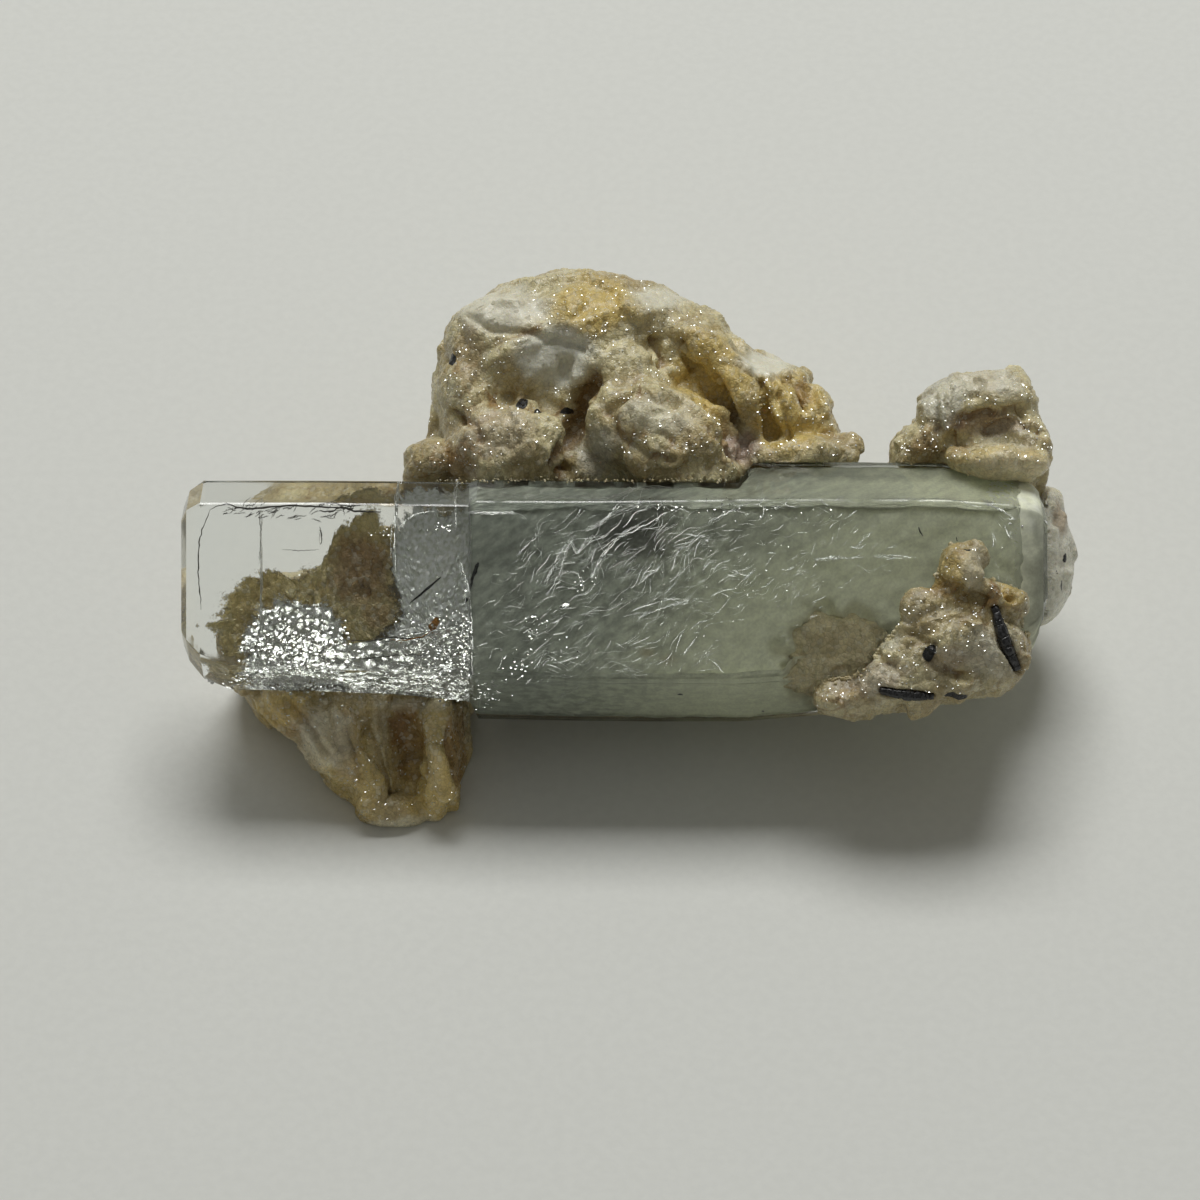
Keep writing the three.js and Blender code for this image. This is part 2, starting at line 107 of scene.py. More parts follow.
# What marks each rock as seen from the front, in the picture plane of the leaning frame.
# A groove is its width, its depth (less than zero for a ridge) and the places it runs through.
# A spot is its strength, its middle's x and y, and its half width and height.
ROCKS = {
    "albite_back_block": {
        "grooves": [
            (0.55, 0.9, [(-0.4, 11.2), (-1.0, 9.6), (-1.5, 8.1), (-2.1, 6.8)]),
            (0.45, 0.4, [(-5.4, 10.3), (-3.9, 9.9), (-2.6, 9.8), (-1.3, 9.3)]),
            (0.3, 0.3, [(0.3, 9.3), (1.4, 10.3), (3.5, 10.0), (5.1, 8.9), (6.7, 7.3)]),
            (0.5, 0.9, [(5.6, 11.0), (6.5, 9.2), (7.1, 7.1)]),
            (0.3, 0.5, [(2.8, 13.1), (3.3, 12.0)]),
            (0.3, 0.5, [(4.0, 13.0), (4.6, 11.8)]),
            (0.3, 0.45, [(5.1, 11.9), (5.7, 10.2)]),
            (0.28, -0.3, [(7.4, 11.7), (8.2, 8.3)]),
            (0.3, 0.45, [(7.9, 10.8), (8.7, 8.2)]),
            (0.25, 0.35, [(8.8, 11.1), (9.5, 8.3)]),
            (0.45, 0.6, [(9.7, 11.2), (10.4, 9.7)]),
            (0.25, 0.35, [(10.6, 11.2), (11.1, 9.5)]),
            (0.3, 0.2, [(3.2, 8.3), (3.7, 7.9)]),
            (0.25, 0.3, [(1.2, 7.9), (2.2, 7.2), (3.6, 7.0)]),
            (0.25, 0.25, [(-6.6, 14.2), (-5.2, 13.6), (-3.4, 13.3), (-1.0, 12.6)]),
            (0.3, 0.35, [(-7.6, 9.4), (-6.6, 9.0), (-6.0, 8.0)]),
        ],
        "spots": {
            "pale": [
                (0.8, -4.9, 14.7, 2.3, 1.3),
                (0.7, 3.0, 15.3, 1.5, 0.7),
                (0.9, 8.3, 12.0, 1.6, 0.7),
                # Partly the facet's own pale cleavage face, partly painted light that lifts the shade under
                # the overhang
                (0.7, -2.3, 12.2, 2.0, 1.6),
                (0.45, 3.2, 9.3, 2.2, 1.0),
            ],
            "grey": [(0.9, -2.3, 12.2, 1.9, 1.5), (0.5, -0.2, 7.4, 1.0, 1.2)],
            "yellow": [(0.9, -0.4, 14.9, 2.1, 1.6), (0.9, 5.6, 11.2, 2.0, 2.4), (0.9, 9.6, 9.5, 2.2, 2.2)],
            "rust": [(0.6, -7.2, 6.9, 1.3, 1.0), (0.7, 10.3, 10.4, 0.5, 0.8), (0.4, -6.8, 12.2, 0.9, 1.6)],
            "mauve": [(0.9, 7.4, 7.8, 0.7, 0.9), (0.35, -5.2, 8.3, 2.0, 1.4)],
            "dark": [
                (1.0, -3.9, 10.1, 0.32, 0.24),
                (0.95, -1.7, 9.6, 0.3, 0.2),
                (0.9, -7.6, 12.2, 0.24, 0.32),
                (0.8, -2.9, 9.8, 0.3, 0.2),
            ],
        },
    },
    "albite_foot": {
        "grooves": [
            (0.3, 0.3, [(-15.6, -5.2), (-14.4, -6.2), (-13.5, -7.7)]),
            (0.22, -0.25, [(-15.0, -5.4), (-13.9, -6.5), (-13.1, -8.2)]),
            (0.9, 0.75, [(-10.0, -6.4), (-9.7, -7.6), (-9.3, -8.6)]),
            (0.3, -0.4, [(-11.4, -5.6), (-11.2, -8.0), (-10.5, -9.8)]),
            (0.4, -0.45, [(-8.5, -6.4), (-8.1, -8.0), (-7.9, -9.8)]),
            (0.2, 0.3, [(-7.5, -6.6), (-7.4, -9.2)]),
            (0.35, 0.3, [(-13.1, -5.2), (-12.4, -7.4), (-11.9, -9.0)]),
        ],
        "spots": {
            "pale": [
                (0.4, -9.2, -11.4, 2.4, 0.5),
                (0.3, -9.4, -5.3, 2.0, 0.3),
                (0.45, -13.8, -6.8, 1.4, 1.8),
            ],
            "grey": [(0.2, -11.1, -6.6, 0.5, 1.8), (0.15, -8.4, -7.8, 0.5, 1.8)],
            "yellow": [
                (0.7, -8.3, -8.6, 1.6, 3.2),
                (0.6, -12.6, -8.6, 1.8, 3.2),
                (0.8, -16.0, -5.6, 1.6, 0.9),
            ],
            "rust": [(0.7, -7.3, -7.6, 0.5, 2.4), (0.6, -9.6, -6.6, 1.0, 1.4), (0.2, -15.6, -5.8, 1.5, 0.8)],
            "mauve": [(0.3, -12.6, -7.2, 0.9, 2.2), (0.2, -14.6, -6.4, 0.9, 1.2)],
            "dark": [],
        },
    },
    "albite_right_block": {
        "grooves": [
            (0.4, 0.45, [(17.7, 8.2), (18.2, 9.1), (19.4, 9.4), (21.2, 9.5)]),
            (0.3, 0.35, [(19.3, 8.4), (20.6, 8.9), (22.2, 8.4)]),
            (0.25, 0.3, [(16.7, 11.0), (16.9, 8.4)]),
            (0.2, 0.25, [(17.4, 11.2), (17.5, 8.8)]),
            (0.2, -0.2, [(16.2, 10.0), (16.4, 7.9)]),
        ],
        "spots": {
            "pale": [(0.5, 19.4, 11.0, 1.4, 0.7), (0.45, 20.4, 6.7, 2.4, 0.8), (0.3, 20.4, 8.0, 1.6, 0.7)],
            "grey": [(0.6, 17.2, 10.2, 1.2, 1.5), (0.4, 20.6, 10.8, 0.8, 0.8)],
            "yellow": [(0.9, 20.2, 6.8, 2.6, 0.9)],
            "rust": [(0.4, 18.9, 9.0, 1.4, 0.5), (0.4, 16.0, 7.6, 1.0, 0.6)],
            "mauve": [(0.6, 19.3, 8.7, 2.0, 0.6)],
            "dark": [],
        },
    },
    "albite_end_knob": {
        "grooves": [(0.2, 0.12, [(22.8, 4.8), (23.2, 3.0), (23.4, 0.6)])],
        "spots": {
            "pale": [(0.7, 22.5, 1.0, 1.6, 4.0)],
            "grey": [(0.8, 22.6, 2.0, 3.0, 4.0)],
            "rust": [(0.5, 23.3, 4.2, 0.3, 1.0)],
            "mauve": [(0.5, 22.9, 3.0, 0.9, 2.0)],
            "dark": [(0.8, 23.5, 2.1, 0.12, 0.3), (0.7, 23.3, 0.7, 0.1, 0.4), (0.6, 23.0, 1.4, 0.1, 0.2)],
        },
    },
    "albite_front_cluster": {
        "grooves": [
            (0.22, 0.6, [(19.6, 0.9), (20.2, 0.0)]),
            (0.4, 0.45, [(16.7, 0.9), (17.7, 0.4), (19.0, -0.2)]),
            (0.35, -0.3, [(16.1, -1.1), (17.2, -0.8), (18.5, -1.2)]),
            (0.3, 0.35, [(13.7, -1.8), (15.2, -1.7), (16.2, -2.2)]),
            (0.3, 0.35, [(12.3, -2.9), (13.4, -2.5), (14.4, -3.2)]),
            (0.3, 0.3, [(15.4, -2.2), (16.6, -3.4), (18.0, -3.9)]),
        ],
        "spots": {
            "pale": [(0.4, 19.7, -2.5, 1.1, 1.5), (0.5, 14.2, -2.0, 0.7, 0.5), (0.5, 18.4, 1.4, 0.7, 1.2)],
            "grey": [(0.35, 18.6, -2.6, 1.0, 1.2), (0.2, 13.4, -3.8, 1.4, 0.9)],
            "yellow": [(0.6, 17.4, 1.2, 1.6, 1.6), (0.6, 20.2, 0.6, 0.7, 1.2)],
            "rust": [(0.5, 17.0, 0.5, 1.0, 0.5), (0.4, 12.3, -4.6, 0.9, 0.5)],
            "mauve": [(0.4, 13.6, -3.8, 1.6, 1.0), (0.4, 17.0, -3.0, 1.2, 0.7)],
            "dark": [
                (1.0, 16.1, -2.65, 0.35, 0.42),
                (0.9, 17.5, -4.8, 0.7, 0.16),
                (0.8, 18.0, 2.5, 0.2, 0.1),
            ],
        },
    },
}
TINTS = ("yellow", "mauve", "grey", "pale", "rust", "dark")


def length(name, description, default):
    """A length property, in metres."""
    return bpy.props.FloatProperty(name=name, description=description, default=default, unit="LENGTH")


class SpecimenSizes(bpy.types.PropertyGroup):
    """Sizes and angles that change how the specimen is built"""

    lean: bpy.props.FloatProperty(
        name="Lean",
        description="How far the broad face is tipped back from facing straight up",
        default=math.radians(40),
        subtype="ANGLE",
    )
    skin_step: length("Skin step", "Distance between neighbouring points of the albite's skin", 0.11 * MM)
    block: length("Block", "Width of a broken face of the albite", 1.9 * MM)
    grain: length("Grain", "Width of an albite grain", 0.38 * MM)
    paper_side: length("Paper side", "Side of the sheet of paper under the specimen", 1.2)
    camera_distance: length("Camera distance", "From the camera to the prism's axis", 200 * MM)


def colour(name, description, default):
    """A colour property, in linear light."""
    return bpy.props.FloatVectorProperty(
        name=name, description=description, default=default, size=3, min=0, max=1, subtype="COLOR"
    )


class SpecimenColours(bpy.types.PropertyGroup):
    """Colours of the minerals and of the paper"""

    tip: colour("Clear tip", "Tint of the clear beryl", (0.97, 0.98, 0.97))
    cloud: colour("Cloud", "Colour of the milky core where it is thickest", (0.90, 0.93, 0.71))
    deep: colour("Deep cloud", "Colour of the milky core where it is thin", (0.48, 0.52, 0.44))
    veil: colour("Veil", "Colour of the healed cracks in the prism", (0.95, 0.97, 0.93))
    cream: colour("Cream", "Cleanest of the granular albite", (0.72, 0.64, 0.38))
    tan: colour("Tan", "Stained granular albite", (0.50, 0.40, 0.20))
    yellow: colour("Yellow", "Honey-coloured albite", (0.70, 0.53, 0.18))
    mauve: colour("Mauve", "Pinkish albite", (0.46, 0.35, 0.28))
    grey: colour("Grey", "Bluish albite faces", (0.74, 0.74, 0.65))
    pale: colour("Pale", "Smooth cleavage faces of the albite", (0.80, 0.78, 0.65))
    rust: colour("Rust", "Iron stain in hollows", (0.30, 0.16, 0.045))
    dark: colour("Dark", "Black grains and needles", (0.012, 0.012, 0.013))
    stain: colour("Stain", "Orange stain in the clear tip", (0.62, 0.27, 0.03))
    paper: colour("Paper", "The sheet under the specimen", (0.80, 0.81, 0.78))


def paint(name):
    """One of the specimen's colours, as three numbers."""
    return tuple(getattr(bpy.context.scene.specimen_colours, name))


# Frame and numbers


def lean_matrix():
    """Rotation from the leaning frame to the row's: a turn about x by the lean."""
    lean = bpy.context.scene.specimen_sizes.lean
    c, s = math.cos(lean), math.sin(lean)
    return np.array([[1, 0, 0], [0, c, -s], [0, s, c]])


def row_shift():
    """Where the leaning frame's zero lies in the row, in millimetres: the plain prism's low corner meets
    its node's."""
    plain = prism_skin(PRISM[:, 0], 1, 1).reshape(-1, 3) @ lean_matrix().T
    return np.array(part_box("aquamarine_prism")[0]) / MM - plain.min(0)


def to_row(points):
    """Points of the leaning frame, in millimetres, as row coordinates in metres."""
    return (points @ lean_matrix().T + row_shift()) * MM


def from_row(points):
    """Row coordinates in metres as points of the leaning frame, in millimetres."""
    return (points / MM - row_shift()) @ lean_matrix()


def smooth(value, low, high):
    """Runs from 0 at low to 1 at high with a flat start and end."""
    t = np.clip((value - low) / (high - low), 0, 1)
    return t * t * (3 - 2 * t)


def unit(vectors):
    """Vectors brought to length 1."""
    return vectors / np.maximum(np.linalg.norm(vectors, axis=-1, keepdims=True), 1e-12)


def scatter(i, j, k, seed):
    """A number from 0 to 1 for each lattice corner, mixed from its whole-number place."""
    mixed = i.astype(np.uint32) * np.uint32(374761393) + j.astype(np.uint32) * np.uint32(668265263)
    mixed = mixed + k.astype(np.uint32) * np.uint32(2147483647) + np.uint32(seed * 974711 + 12345)
    mixed = (mixed ^ (mixed >> np.uint32(13))) * np.uint32(1274126177)
    mixed = (mixed ^ (mixed >> np.uint32(16))) * np.uint32(2246822519)
    mixed = mixed ^ (mixed >> np.uint32(15))
    return (mixed & np.uint32(0xFFFFFF)) / float(0xFFFFFF)


def waves(points, size, seed, squeeze=(1, 1, 1)):
    """Smooth noise from -1 to 1: lattice numbers one size apart, blended by a smooth step along each
    axis. A squeeze below 1 draws the waves out along its axis."""
    place = points * np.array(squeeze) / size
    base = np.floor(place).astype(np.int64)
    part = place - base
    part = part * part * (3 - 2 * part)
    total = np.zeros(len(points))
    for corner in range(8):
        step = np.array([corner & 1, corner >> 1 & 1, corner >> 2 & 1])
        weight = np.prod(np.where(step, part, 1 - part), axis=1)
        total += weight * scatter(*(base + step).T, seed)
    return total * 2 - 1


def cells(points, size, seed):
    """For each neighbouring scattered middle: its offset from the points, in sizes, and three numbers of
    its own."""
    place = points / size
    base = np.floor(place).astype(np.int64)
    for offset in np.ndindex(3, 3, 3):
        cell = base + np.array(offset) - 1
        numbers = np.stack([scatter(*cell.T, seed + axis) for axis in range(6)], axis=1)
        yield place - cell - numbers[:, :3], numbers[:, 3:]


def grains(points, size, seed):
    """How far the second nearest scattered middle is beyond the nearest, in sizes, and the nearest one's
    number."""
    near = np.full(len(points), 9.0)
    second = np.full(len(points), 9.0)
    number = np.zeros(len(points))
    for offset, numbers in cells(points, size, seed):
        away = np.linalg.norm(offset, axis=1)
        closer = away < near
        second = np.where(closer, near, np.minimum(second, away))
        number = np.where(closer, numbers[:, 0], number)
        near = np.where(closer, away, near)
    return np.clip(second - near, 0, 1), number


def blocks(points, size, seed, lean=(0, 0, 0), sharpness=16):
    """Broken faces, about -1 to 1: each scattered middle has a plane of its own tilt, about a common
    lean, blended over edges that get narrower with sharpness."""
    total = np.zeros(len(points))
    weights = np.full(len(points), 1e-9)
    for offset, numbers in cells(points, size, seed):
        weight = np.exp(-sharpness * np.sum(offset**2, axis=1))
        total += weight * np.sum(offset * (numbers * 2 - 1 + np.array(lean)), axis=1) * 2
        weights += weight
    return total / weights


def stroke_away(places, path):
    """Distance in the picture plane from each place to a broken line."""
    nearest = np.full(len(places), 1e3)
    for start, end in zip(np.array(path[:-1], float), np.array(path[1:], float)):
        along = end - start
        share = np.clip((places[:, :2] - start) @ along / (along @ along), 0, 1)
        away = np.linalg.norm(places[:, :2] - start - share[:, None] * along, axis=1)
        nearest = np.minimum(nearest, away)
    return nearest


def spot(places, x, y, wide, high, inner):
    """An oval mask in the picture plane: 1 in its middle, 0 past its wandering rim; inner is where it
    starts to fade."""
    away = np.hypot((places[:, 0] - x) / wide, (places[:, 1] - y) / high)
    away = away + 0.22 * waves(places, 0.8, 31) + 0.12 * waves(places, 0.3, 32)
    return 1 - smooth(away, inner, 1.25)


def most(places, spots, inner=0.6):
    """The strongest of several spots at each place."""
    masks = [strength * spot(places, *where, inner) for strength, *where in spots]
    return np.max(masks, axis=0) if masks else np.zeros(len(places))


def smooth_path(path, count):
    """Points along a smooth line through a few places: cubic arcs whose slopes are the mean of their
    neighbours'."""
    path = np.asarray(path, float)
    knots = np.concatenate([[0], np.cumsum(np.linalg.norm(np.diff(path, axis=0), axis=1))])
    if len(path) > 2:
        slopes = np.gradient(path, knots, axis=0)
    else:
        slopes = np.repeat((path[1:] - path[:1]) / knots[1], 2, axis=0)
    run = np.linspace(0, knots[-1], count)
    i = np.clip(np.searchsorted(knots, run, "right") - 1, 0, len(path) - 2)
    span = (knots[i + 1] - knots[i])[:, None]
    t = (run - knots[i])[:, None] / span
    start = (2 * t**3 - 3 * t**2 + 1) * path[i] + (t**3 - 2 * t**2 + t) * span * slopes[i]
    return start + (3 * t**2 - 2 * t**3) * path[i + 1] + (t**3 - t**2) * span * slopes[i + 1]


# Meshes


def grid_faces(rows, columns, closed):
    """Four-sided faces of a grid of points, row after row, joined round from last column to first if
    closed."""
    r, c = np.meshgrid(np.arange(rows - 1), np.arange(columns if closed else columns - 1), indexing="ij")
    a = r * columns + c
    b = r * columns + (c + 1) % columns
    return np.stack([a, b, b + columns, a + columns], axis=-1).reshape(-1, 4)


def capped_faces(rows, columns):
    """Faces of a grid joined round, whose first and last rows close in fans on the two points that follow
    it."""
    start = np.arange(columns)
    after = (start + 1) % columns
    last = (rows - 1) * columns
    low_end = np.stack([after, start, np.full(columns, rows * columns)], axis=1)
    high_end = np.stack([last + start, last + after, np.full(columns, rows * columns + 1)], axis=1)
    return [grid_faces(rows, columns, closed=True), low_end, high_end]


def repeated(single, count, size):
    """The faces of many copies of a small shape, whose points follow one another, size at a time."""
    starts = (np.arange(count) * size)[:, None, None]
    return (single[None] + starts).reshape(-1, single.shape[1])


def make_piece(name, points, face_sets, material, sharp=None):
    """A mesh object at the origin from row points in metres, shaded smooth but for edges sharper than
    sharp. Each set holds faces with the same number of corners."""
    mesh = bpy.data.meshes.new(name)
    corners = np.concatenate([faces.ravel() for faces in face_sets]).astype(np.int32)
    counts = np.concatenate([np.full(len(faces), faces.shape[1]) for faces in face_sets])
    starts = np.concatenate([[0], np.cumsum(counts)[:-1]]).astype(np.int32)
    mesh.vertices.add(len(points))
    mesh.vertices.foreach_set("co", np.asarray(points, np.float32).ravel())
    mesh.loops.add(len(corners))
    mesh.loops.foreach_set("vertex_index", corners)
    mesh.polygons.add(len(starts))
    mesh.polygons.foreach_set("loop_start", starts)
    mesh.update(calc_edges=True)
    mesh.validate()
    mesh.shade_smooth()
    if sharp is not None:
        mesh.set_sharp_from_angle(angle=math.radians(sharp))
    mesh.materials.append(material)
    piece = bpy.data.objects.new(name, mesh)
    bpy.context.collection.objects.link(piece)
    return piece


def specimen_piece(name, points, face_sets, material, nodes=(), sharp=None, masks=None):
    """A piece of the specimen, with a number at each point for every mask that its material reads: it
    rides on the specimen and stands for the nodes it is given."""
    piece = make_piece(name, points, face_sets, material, sharp)
    for label, values in (masks or {}).items():
        attribute = piece.data.attributes.new(label, "FLOAT", "POINT")
        attribute.data.foreach_set("value", np.asarray(values, np.float32).ravel())
    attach(piece, "root")
    if nodes:
        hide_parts(*nodes)
    return piece


def even_tints(count, **shares):
    """Masks of every tint with the same share at each point, and none where a tint isn't named."""
    return {tint: np.full(count, shares.get(tint, 0.0)) for tint in TINTS}


def closed_sheet(front, thickness):
    """A sheet's two skins, rows by columns of points, joined all round its rim: the back one lies behind
    the front."""
    rows, columns = front.shape[:2]
    back = front - thickness
    faces = grid_faces(rows, columns, closed=False)
    total = rows * columns
    index = np.arange(total).reshape(rows, columns)
    rim = np.concatenate([index[0, :-1], index[:-1, -1], index[-1, :0:-1], index[:0:-1, 0]])
    after = np.roll(rim, -1)
    walls = np.stack([after, rim, rim + total, after + total], axis=1)
    points = np.concatenate([front.reshape(-1, 3), back.reshape(-1, 3)])
    return points, np.concatenate([faces, faces[:, ::-1] + total, walls])


def lens(middle, outline, rings, columns, height):
    """A thin closed body, round about a middle in the picture plane, whose rim runs smoothly through an
    outline: height gives the z of its front skin, and its back skin bulges away from the rim. Its
    points, its faces and how far inside the rim each point lies."""
    thickness = 0.3
    middle = np.array(middle)
    rim = smooth_path([*outline, outline[0]], columns + 1)[:-1]
    deep = np.concatenate([rim, np.zeros((columns, 1))], axis=1)
    swing = 1 + 0.05 * waves(deep, 0.7, 59) + 0.06 * waves(deep, 0.25, 60)
    spokes = (rim - middle) * swing[:, None]
    share = np.linspace(0, 1, rings)[:, None]
    flat = middle + spokes * share[..., None]
    z = height(flat.reshape(-1, 2)).reshape(rings, columns, 1)
    front = np.concatenate([flat, z], axis=2)
    back = front - np.array([0, 0, thickness]) * (1 - share[..., None] ** 2)
    inset = (1 - share) * np.linalg.norm(spokes, axis=1)
    rows = [*front[1:], *back[-2:0:-1], front[0, :1], back[0, :1]]
    insets = [*inset[1:], *inset[-2:0:-1], inset[0, :1], inset[0, :1]]
    return np.concatenate(rows), capped_faces(2 * rings - 3, columns), np.concatenate(insets)


def threads(paths, radii, facings=None):
    """Thin closed bodies along many paths at once, N by K points, with flat ends: a diamond carried along
    each, or a ribbon that keeps to its own facing."""
    count, steps = paths.shape[:2]
    along = unit(np.gradient(paths, axis=1))
    upward = np.array([0.0, 0, 1]) if facings is None else facings[:, None]
    side = unit(np.cross(along, upward))
    up = np.cross(side, along)
    diamond = np.array([(1, 0), (0, 1), (-1, 0), (0, -1)])
    ribbon = np.array([(1, 0.15), (-1, 0.15), (-1, -0.15), (1, -0.15)])
    across, high = (diamond if facings is None else ribbon).T[:, :, None]
    corners = (side[:, :, None] * across + up[:, :, None] * high) * radii[..., None, None]
    points = (paths[:, :, None] + corners).reshape(-1, 3)
    faces = grid_faces(steps, 4, closed=True)
    ends = np.array([[3, 2, 1, 0], [0, 1, 2, 3]]) + np.array([[0], [(steps - 1) * 4]])
    single = np.concatenate([faces, ends])[:, ::-1]
    return points, repeated(single, count, steps * 4)


def plates(middles, facings, widths):
    """Small flat crystals: six-sided plates, pointed on both faces, each turned to its own facing."""
    turn = np.arange(6) * math.pi / 3
    facings = unit(facings)
    side = unit(np.cross(facings, np.array([0.31, 0.92, 0.23])))
    up = np.cross(facings, side)
    rim = side[:, None] * np.cos(turn)[:, None] + up[:, None] * np.sin(turn)[:, None]
    local = np.concatenate([rim, facings[:, None] * 0.12, -facings[:, None] * 0.12], axis=1)
    points = middles[:, None] + local * widths[:, None, None]
    after = (np.arange(6) + 1) % 6
    top = np.stack([np.arange(6), after, np.full(6, 6)], axis=1)
    bottom = np.stack([after, np.arange(6), np.full(6, 7)], axis=1)
    return points.reshape(-1, 3), repeated(np.concatenate([top, bottom]), len(middles), 8)


def crumbs(middles, widths, random):
    """Small angular grains: twenty-sided balls pulled out of shape."""
    golden = (1 + math.sqrt(5)) / 2
    local = np.array(
        [(-1, golden, 0), (1, golden, 0), (-1, -golden, 0), (1, -golden, 0)]
        + [(0, -1, golden), (0, 1, golden), (0, -1, -golden), (0, 1, -golden)]
        + [(golden, 0, -1), (golden, 0, 1), (-golden, 0, -1), (-golden, 0, 1)]
    ) / math.hypot(1, golden)
    single = np.array(
        [(0, 11, 5), (0, 5, 1), (0, 1, 7), (0, 7, 10), (0, 10, 11), (1, 5, 9), (5, 11, 4), (11, 10, 2)]
        + [(10, 7, 6), (7, 1, 8), (3, 9, 4), (3, 4, 2), (3, 2, 6), (3, 6, 8), (3, 8, 9), (4, 9, 5)]
        + [(2, 4, 11), (6, 2, 10), (8, 6, 7), (9, 8, 1)]
    )
    stretch = random.uniform(0.7, 1.3, (len(middles), 1, 3))
    shapes = local * stretch * random.uniform(0.85, 1.15, (len(middles), 12, 1))
    points = middles[:, None] + shapes * widths[:, None, None]
    return points.reshape(-1, 3), repeated(single, len(middles), 12)


# Shader helpers


def new_material(name):
    """A material with its Principled BSDF, ready for nodes."""
    material = bpy.data.materials.new(name)
    material.use_nodes = True
    return material, material.node_tree, material.node_tree.nodes["Principled BSDF"]


def feed(tree, made, inputs):
    """Gives a node its inputs: a socket is linked, and any other value is set."""
    for key, value in inputs.items():
        if isinstance(value, bpy.types.NodeSocket):
            tree.links.new(value, made.inputs[key])
        else:
            made.inputs[key].default_value = value


def node(tree, kind, inputs=None, **settings):
    """A node with its settings and inputs."""
    made = tree.nodes.new(kind)
    for key, value in settings.items():
        setattr(made, key, value)
    feed(tree, made, inputs or {})
    return made


def mix(tree, factor, a, b, blend="MIX"):
    """The colour b laid over the colour a by a factor."""
    made = node(tree, "ShaderNodeMix", {0: factor}, data_type="RGBA", blend_type=blend)
    feed(tree, made, {i: (*value, 1) if isinstance(value, tuple) else value for i, value in ((6, a), (7, b))})
    return made.outputs[2]


def darken(tree, base, value):
    """The colour times a number."""
    shade = node(tree, "ShaderNodeCombineColor", {"Red": value, "Green": value, "Blue": value})
    return mix(tree, 1.0, base, shade.outputs["Color"], "MULTIPLY")


def ramp(tree, value, low, high, start=0.0, end=1.0):
    """A number that runs smoothly from start to end while value runs from low to high."""
    inputs = {"Value": value, "From Min": low, "From Max": high, "To Min": start, "To Max": end}
    return node(tree, "ShaderNodeMapRange", inputs, interpolation_type="SMOOTHSTEP").outputs["Result"]


def maths(tree, operation, a, b):
    """The result of one Math node."""
    return node(tree, "ShaderNodeMath", {0: a, 1: b}, operation=operation).outputs[0]


def times(tree, a, b):
    """The product of two numbers."""
    return maths(tree, "MULTIPLY", a, b)


def read(tree, name):
    """A mask that the mesh carries."""
    return node(tree, "ShaderNodeAttribute", attribute_name=name).outputs["Fac"]


def object_place(tree):
    """The Object coordinates."""
    return node(tree, "ShaderNodeTexCoord").outputs["Object"]


def object_noise(tree, width, detail=2.0, stretch=(1, 1, 1), turn=(0, 0, 0)):
    """Noise on Object coordinates whose features are about width wide, in metres, and stretched so many
    times along each of its turned axes."""
    inputs = {"Vector": object_place(tree), "Rotation": turn, "Scale": stretch}
    turned = node(tree, "ShaderNodeMapping", inputs, vector_type="TEXTURE").outputs["Vector"]
    inputs = {"Vector": turned, "Scale": 1 / width, "Detail": detail}
    return node(tree, "ShaderNodeTexNoise", inputs).outputs["Fac"]


def bumped(tree, height, strength, distance, normal=None):
    """A normal pushed about by a height."""
    inputs = {"Height": height, "Strength": strength, "Distance": distance}
    if normal is not None:
        inputs["Normal"] = normal
    return node(tree, "ShaderNodeBump", inputs).outputs["Normal"]


def new_group(name, inputs, outputs):
    """An empty node group with its named sockets, and its input and output nodes."""
    tree = bpy.data.node_groups.new(name, "ShaderNodeTree")
    for label, default in inputs:
        socket = tree.interface.new_socket(name=label, in_out="INPUT", socket_type="NodeSocketFloat")
        socket.default_value = default
    for label, kind in outputs:
        tree.interface.new_socket(name=label, in_out="OUTPUT", socket_type=kind)
    return tree, tree.nodes.new("NodeGroupInput").outputs, tree.nodes.new("NodeGroupOutput").inputs


def glitter_group():
    """Tiny cleavage faces: cells on Object coordinates, a share of which turn the normal their own way
    and shine."""
    name = "Glitter"
    if name in bpy.data.node_groups:
        return bpy.data.node_groups[name]
    tree, source, sink = new_group(
        name,
        [("Cell Scale", 4000.0), ("Share", 0.12), ("Tilt", 0.7)],
        [("Normal", "NodeSocketVector"), ("Mask", "NodeSocketFloat")],
    )
    inputs = {"Vector": object_place(tree), "Scale": source["Cell Scale"]}
    cell = node(tree, "ShaderNodeTexVoronoi", inputs).outputs["Color"]
    split = node(tree, "ShaderNodeSeparateColor", {"Color": cell})
    lit = maths(tree, "LESS_THAN", split.outputs["Red"], source["Share"])
    centred = node(tree, "ShaderNodeVectorMath", {0: cell, 1: (0.5, 0.5, 0.5)}, operation="SUBTRACT")
    inputs = {0: centred.outputs[0], "Scale": times(tree, lit, source["Tilt"])}
    turn = node(tree, "ShaderNodeVectorMath", inputs, operation="SCALE")
    plain = node(tree, "ShaderNodeNewGeometry").outputs["Normal"]
    summed = node(tree, "ShaderNodeVectorMath", {0: plain, 1: turn.outputs[0]}, operation="ADD")
    normal = node(tree, "ShaderNodeVectorMath", {0: summed.outputs[0]}, operation="NORMALIZE")
    tree.links.new(normal.outputs[0], sink["Normal"])
    tree.links.new(lit, sink["Mask"])
    return tree


def glitter(tree, cell, share, tilt):
    """Places the glitter group with cells of a width in metres."""
    inputs = {"Cell Scale": 1 / cell, "Share": share, "Tilt": tilt}
    return node(tree, "ShaderNodeGroup", inputs, node_tree=glitter_group()).outputs


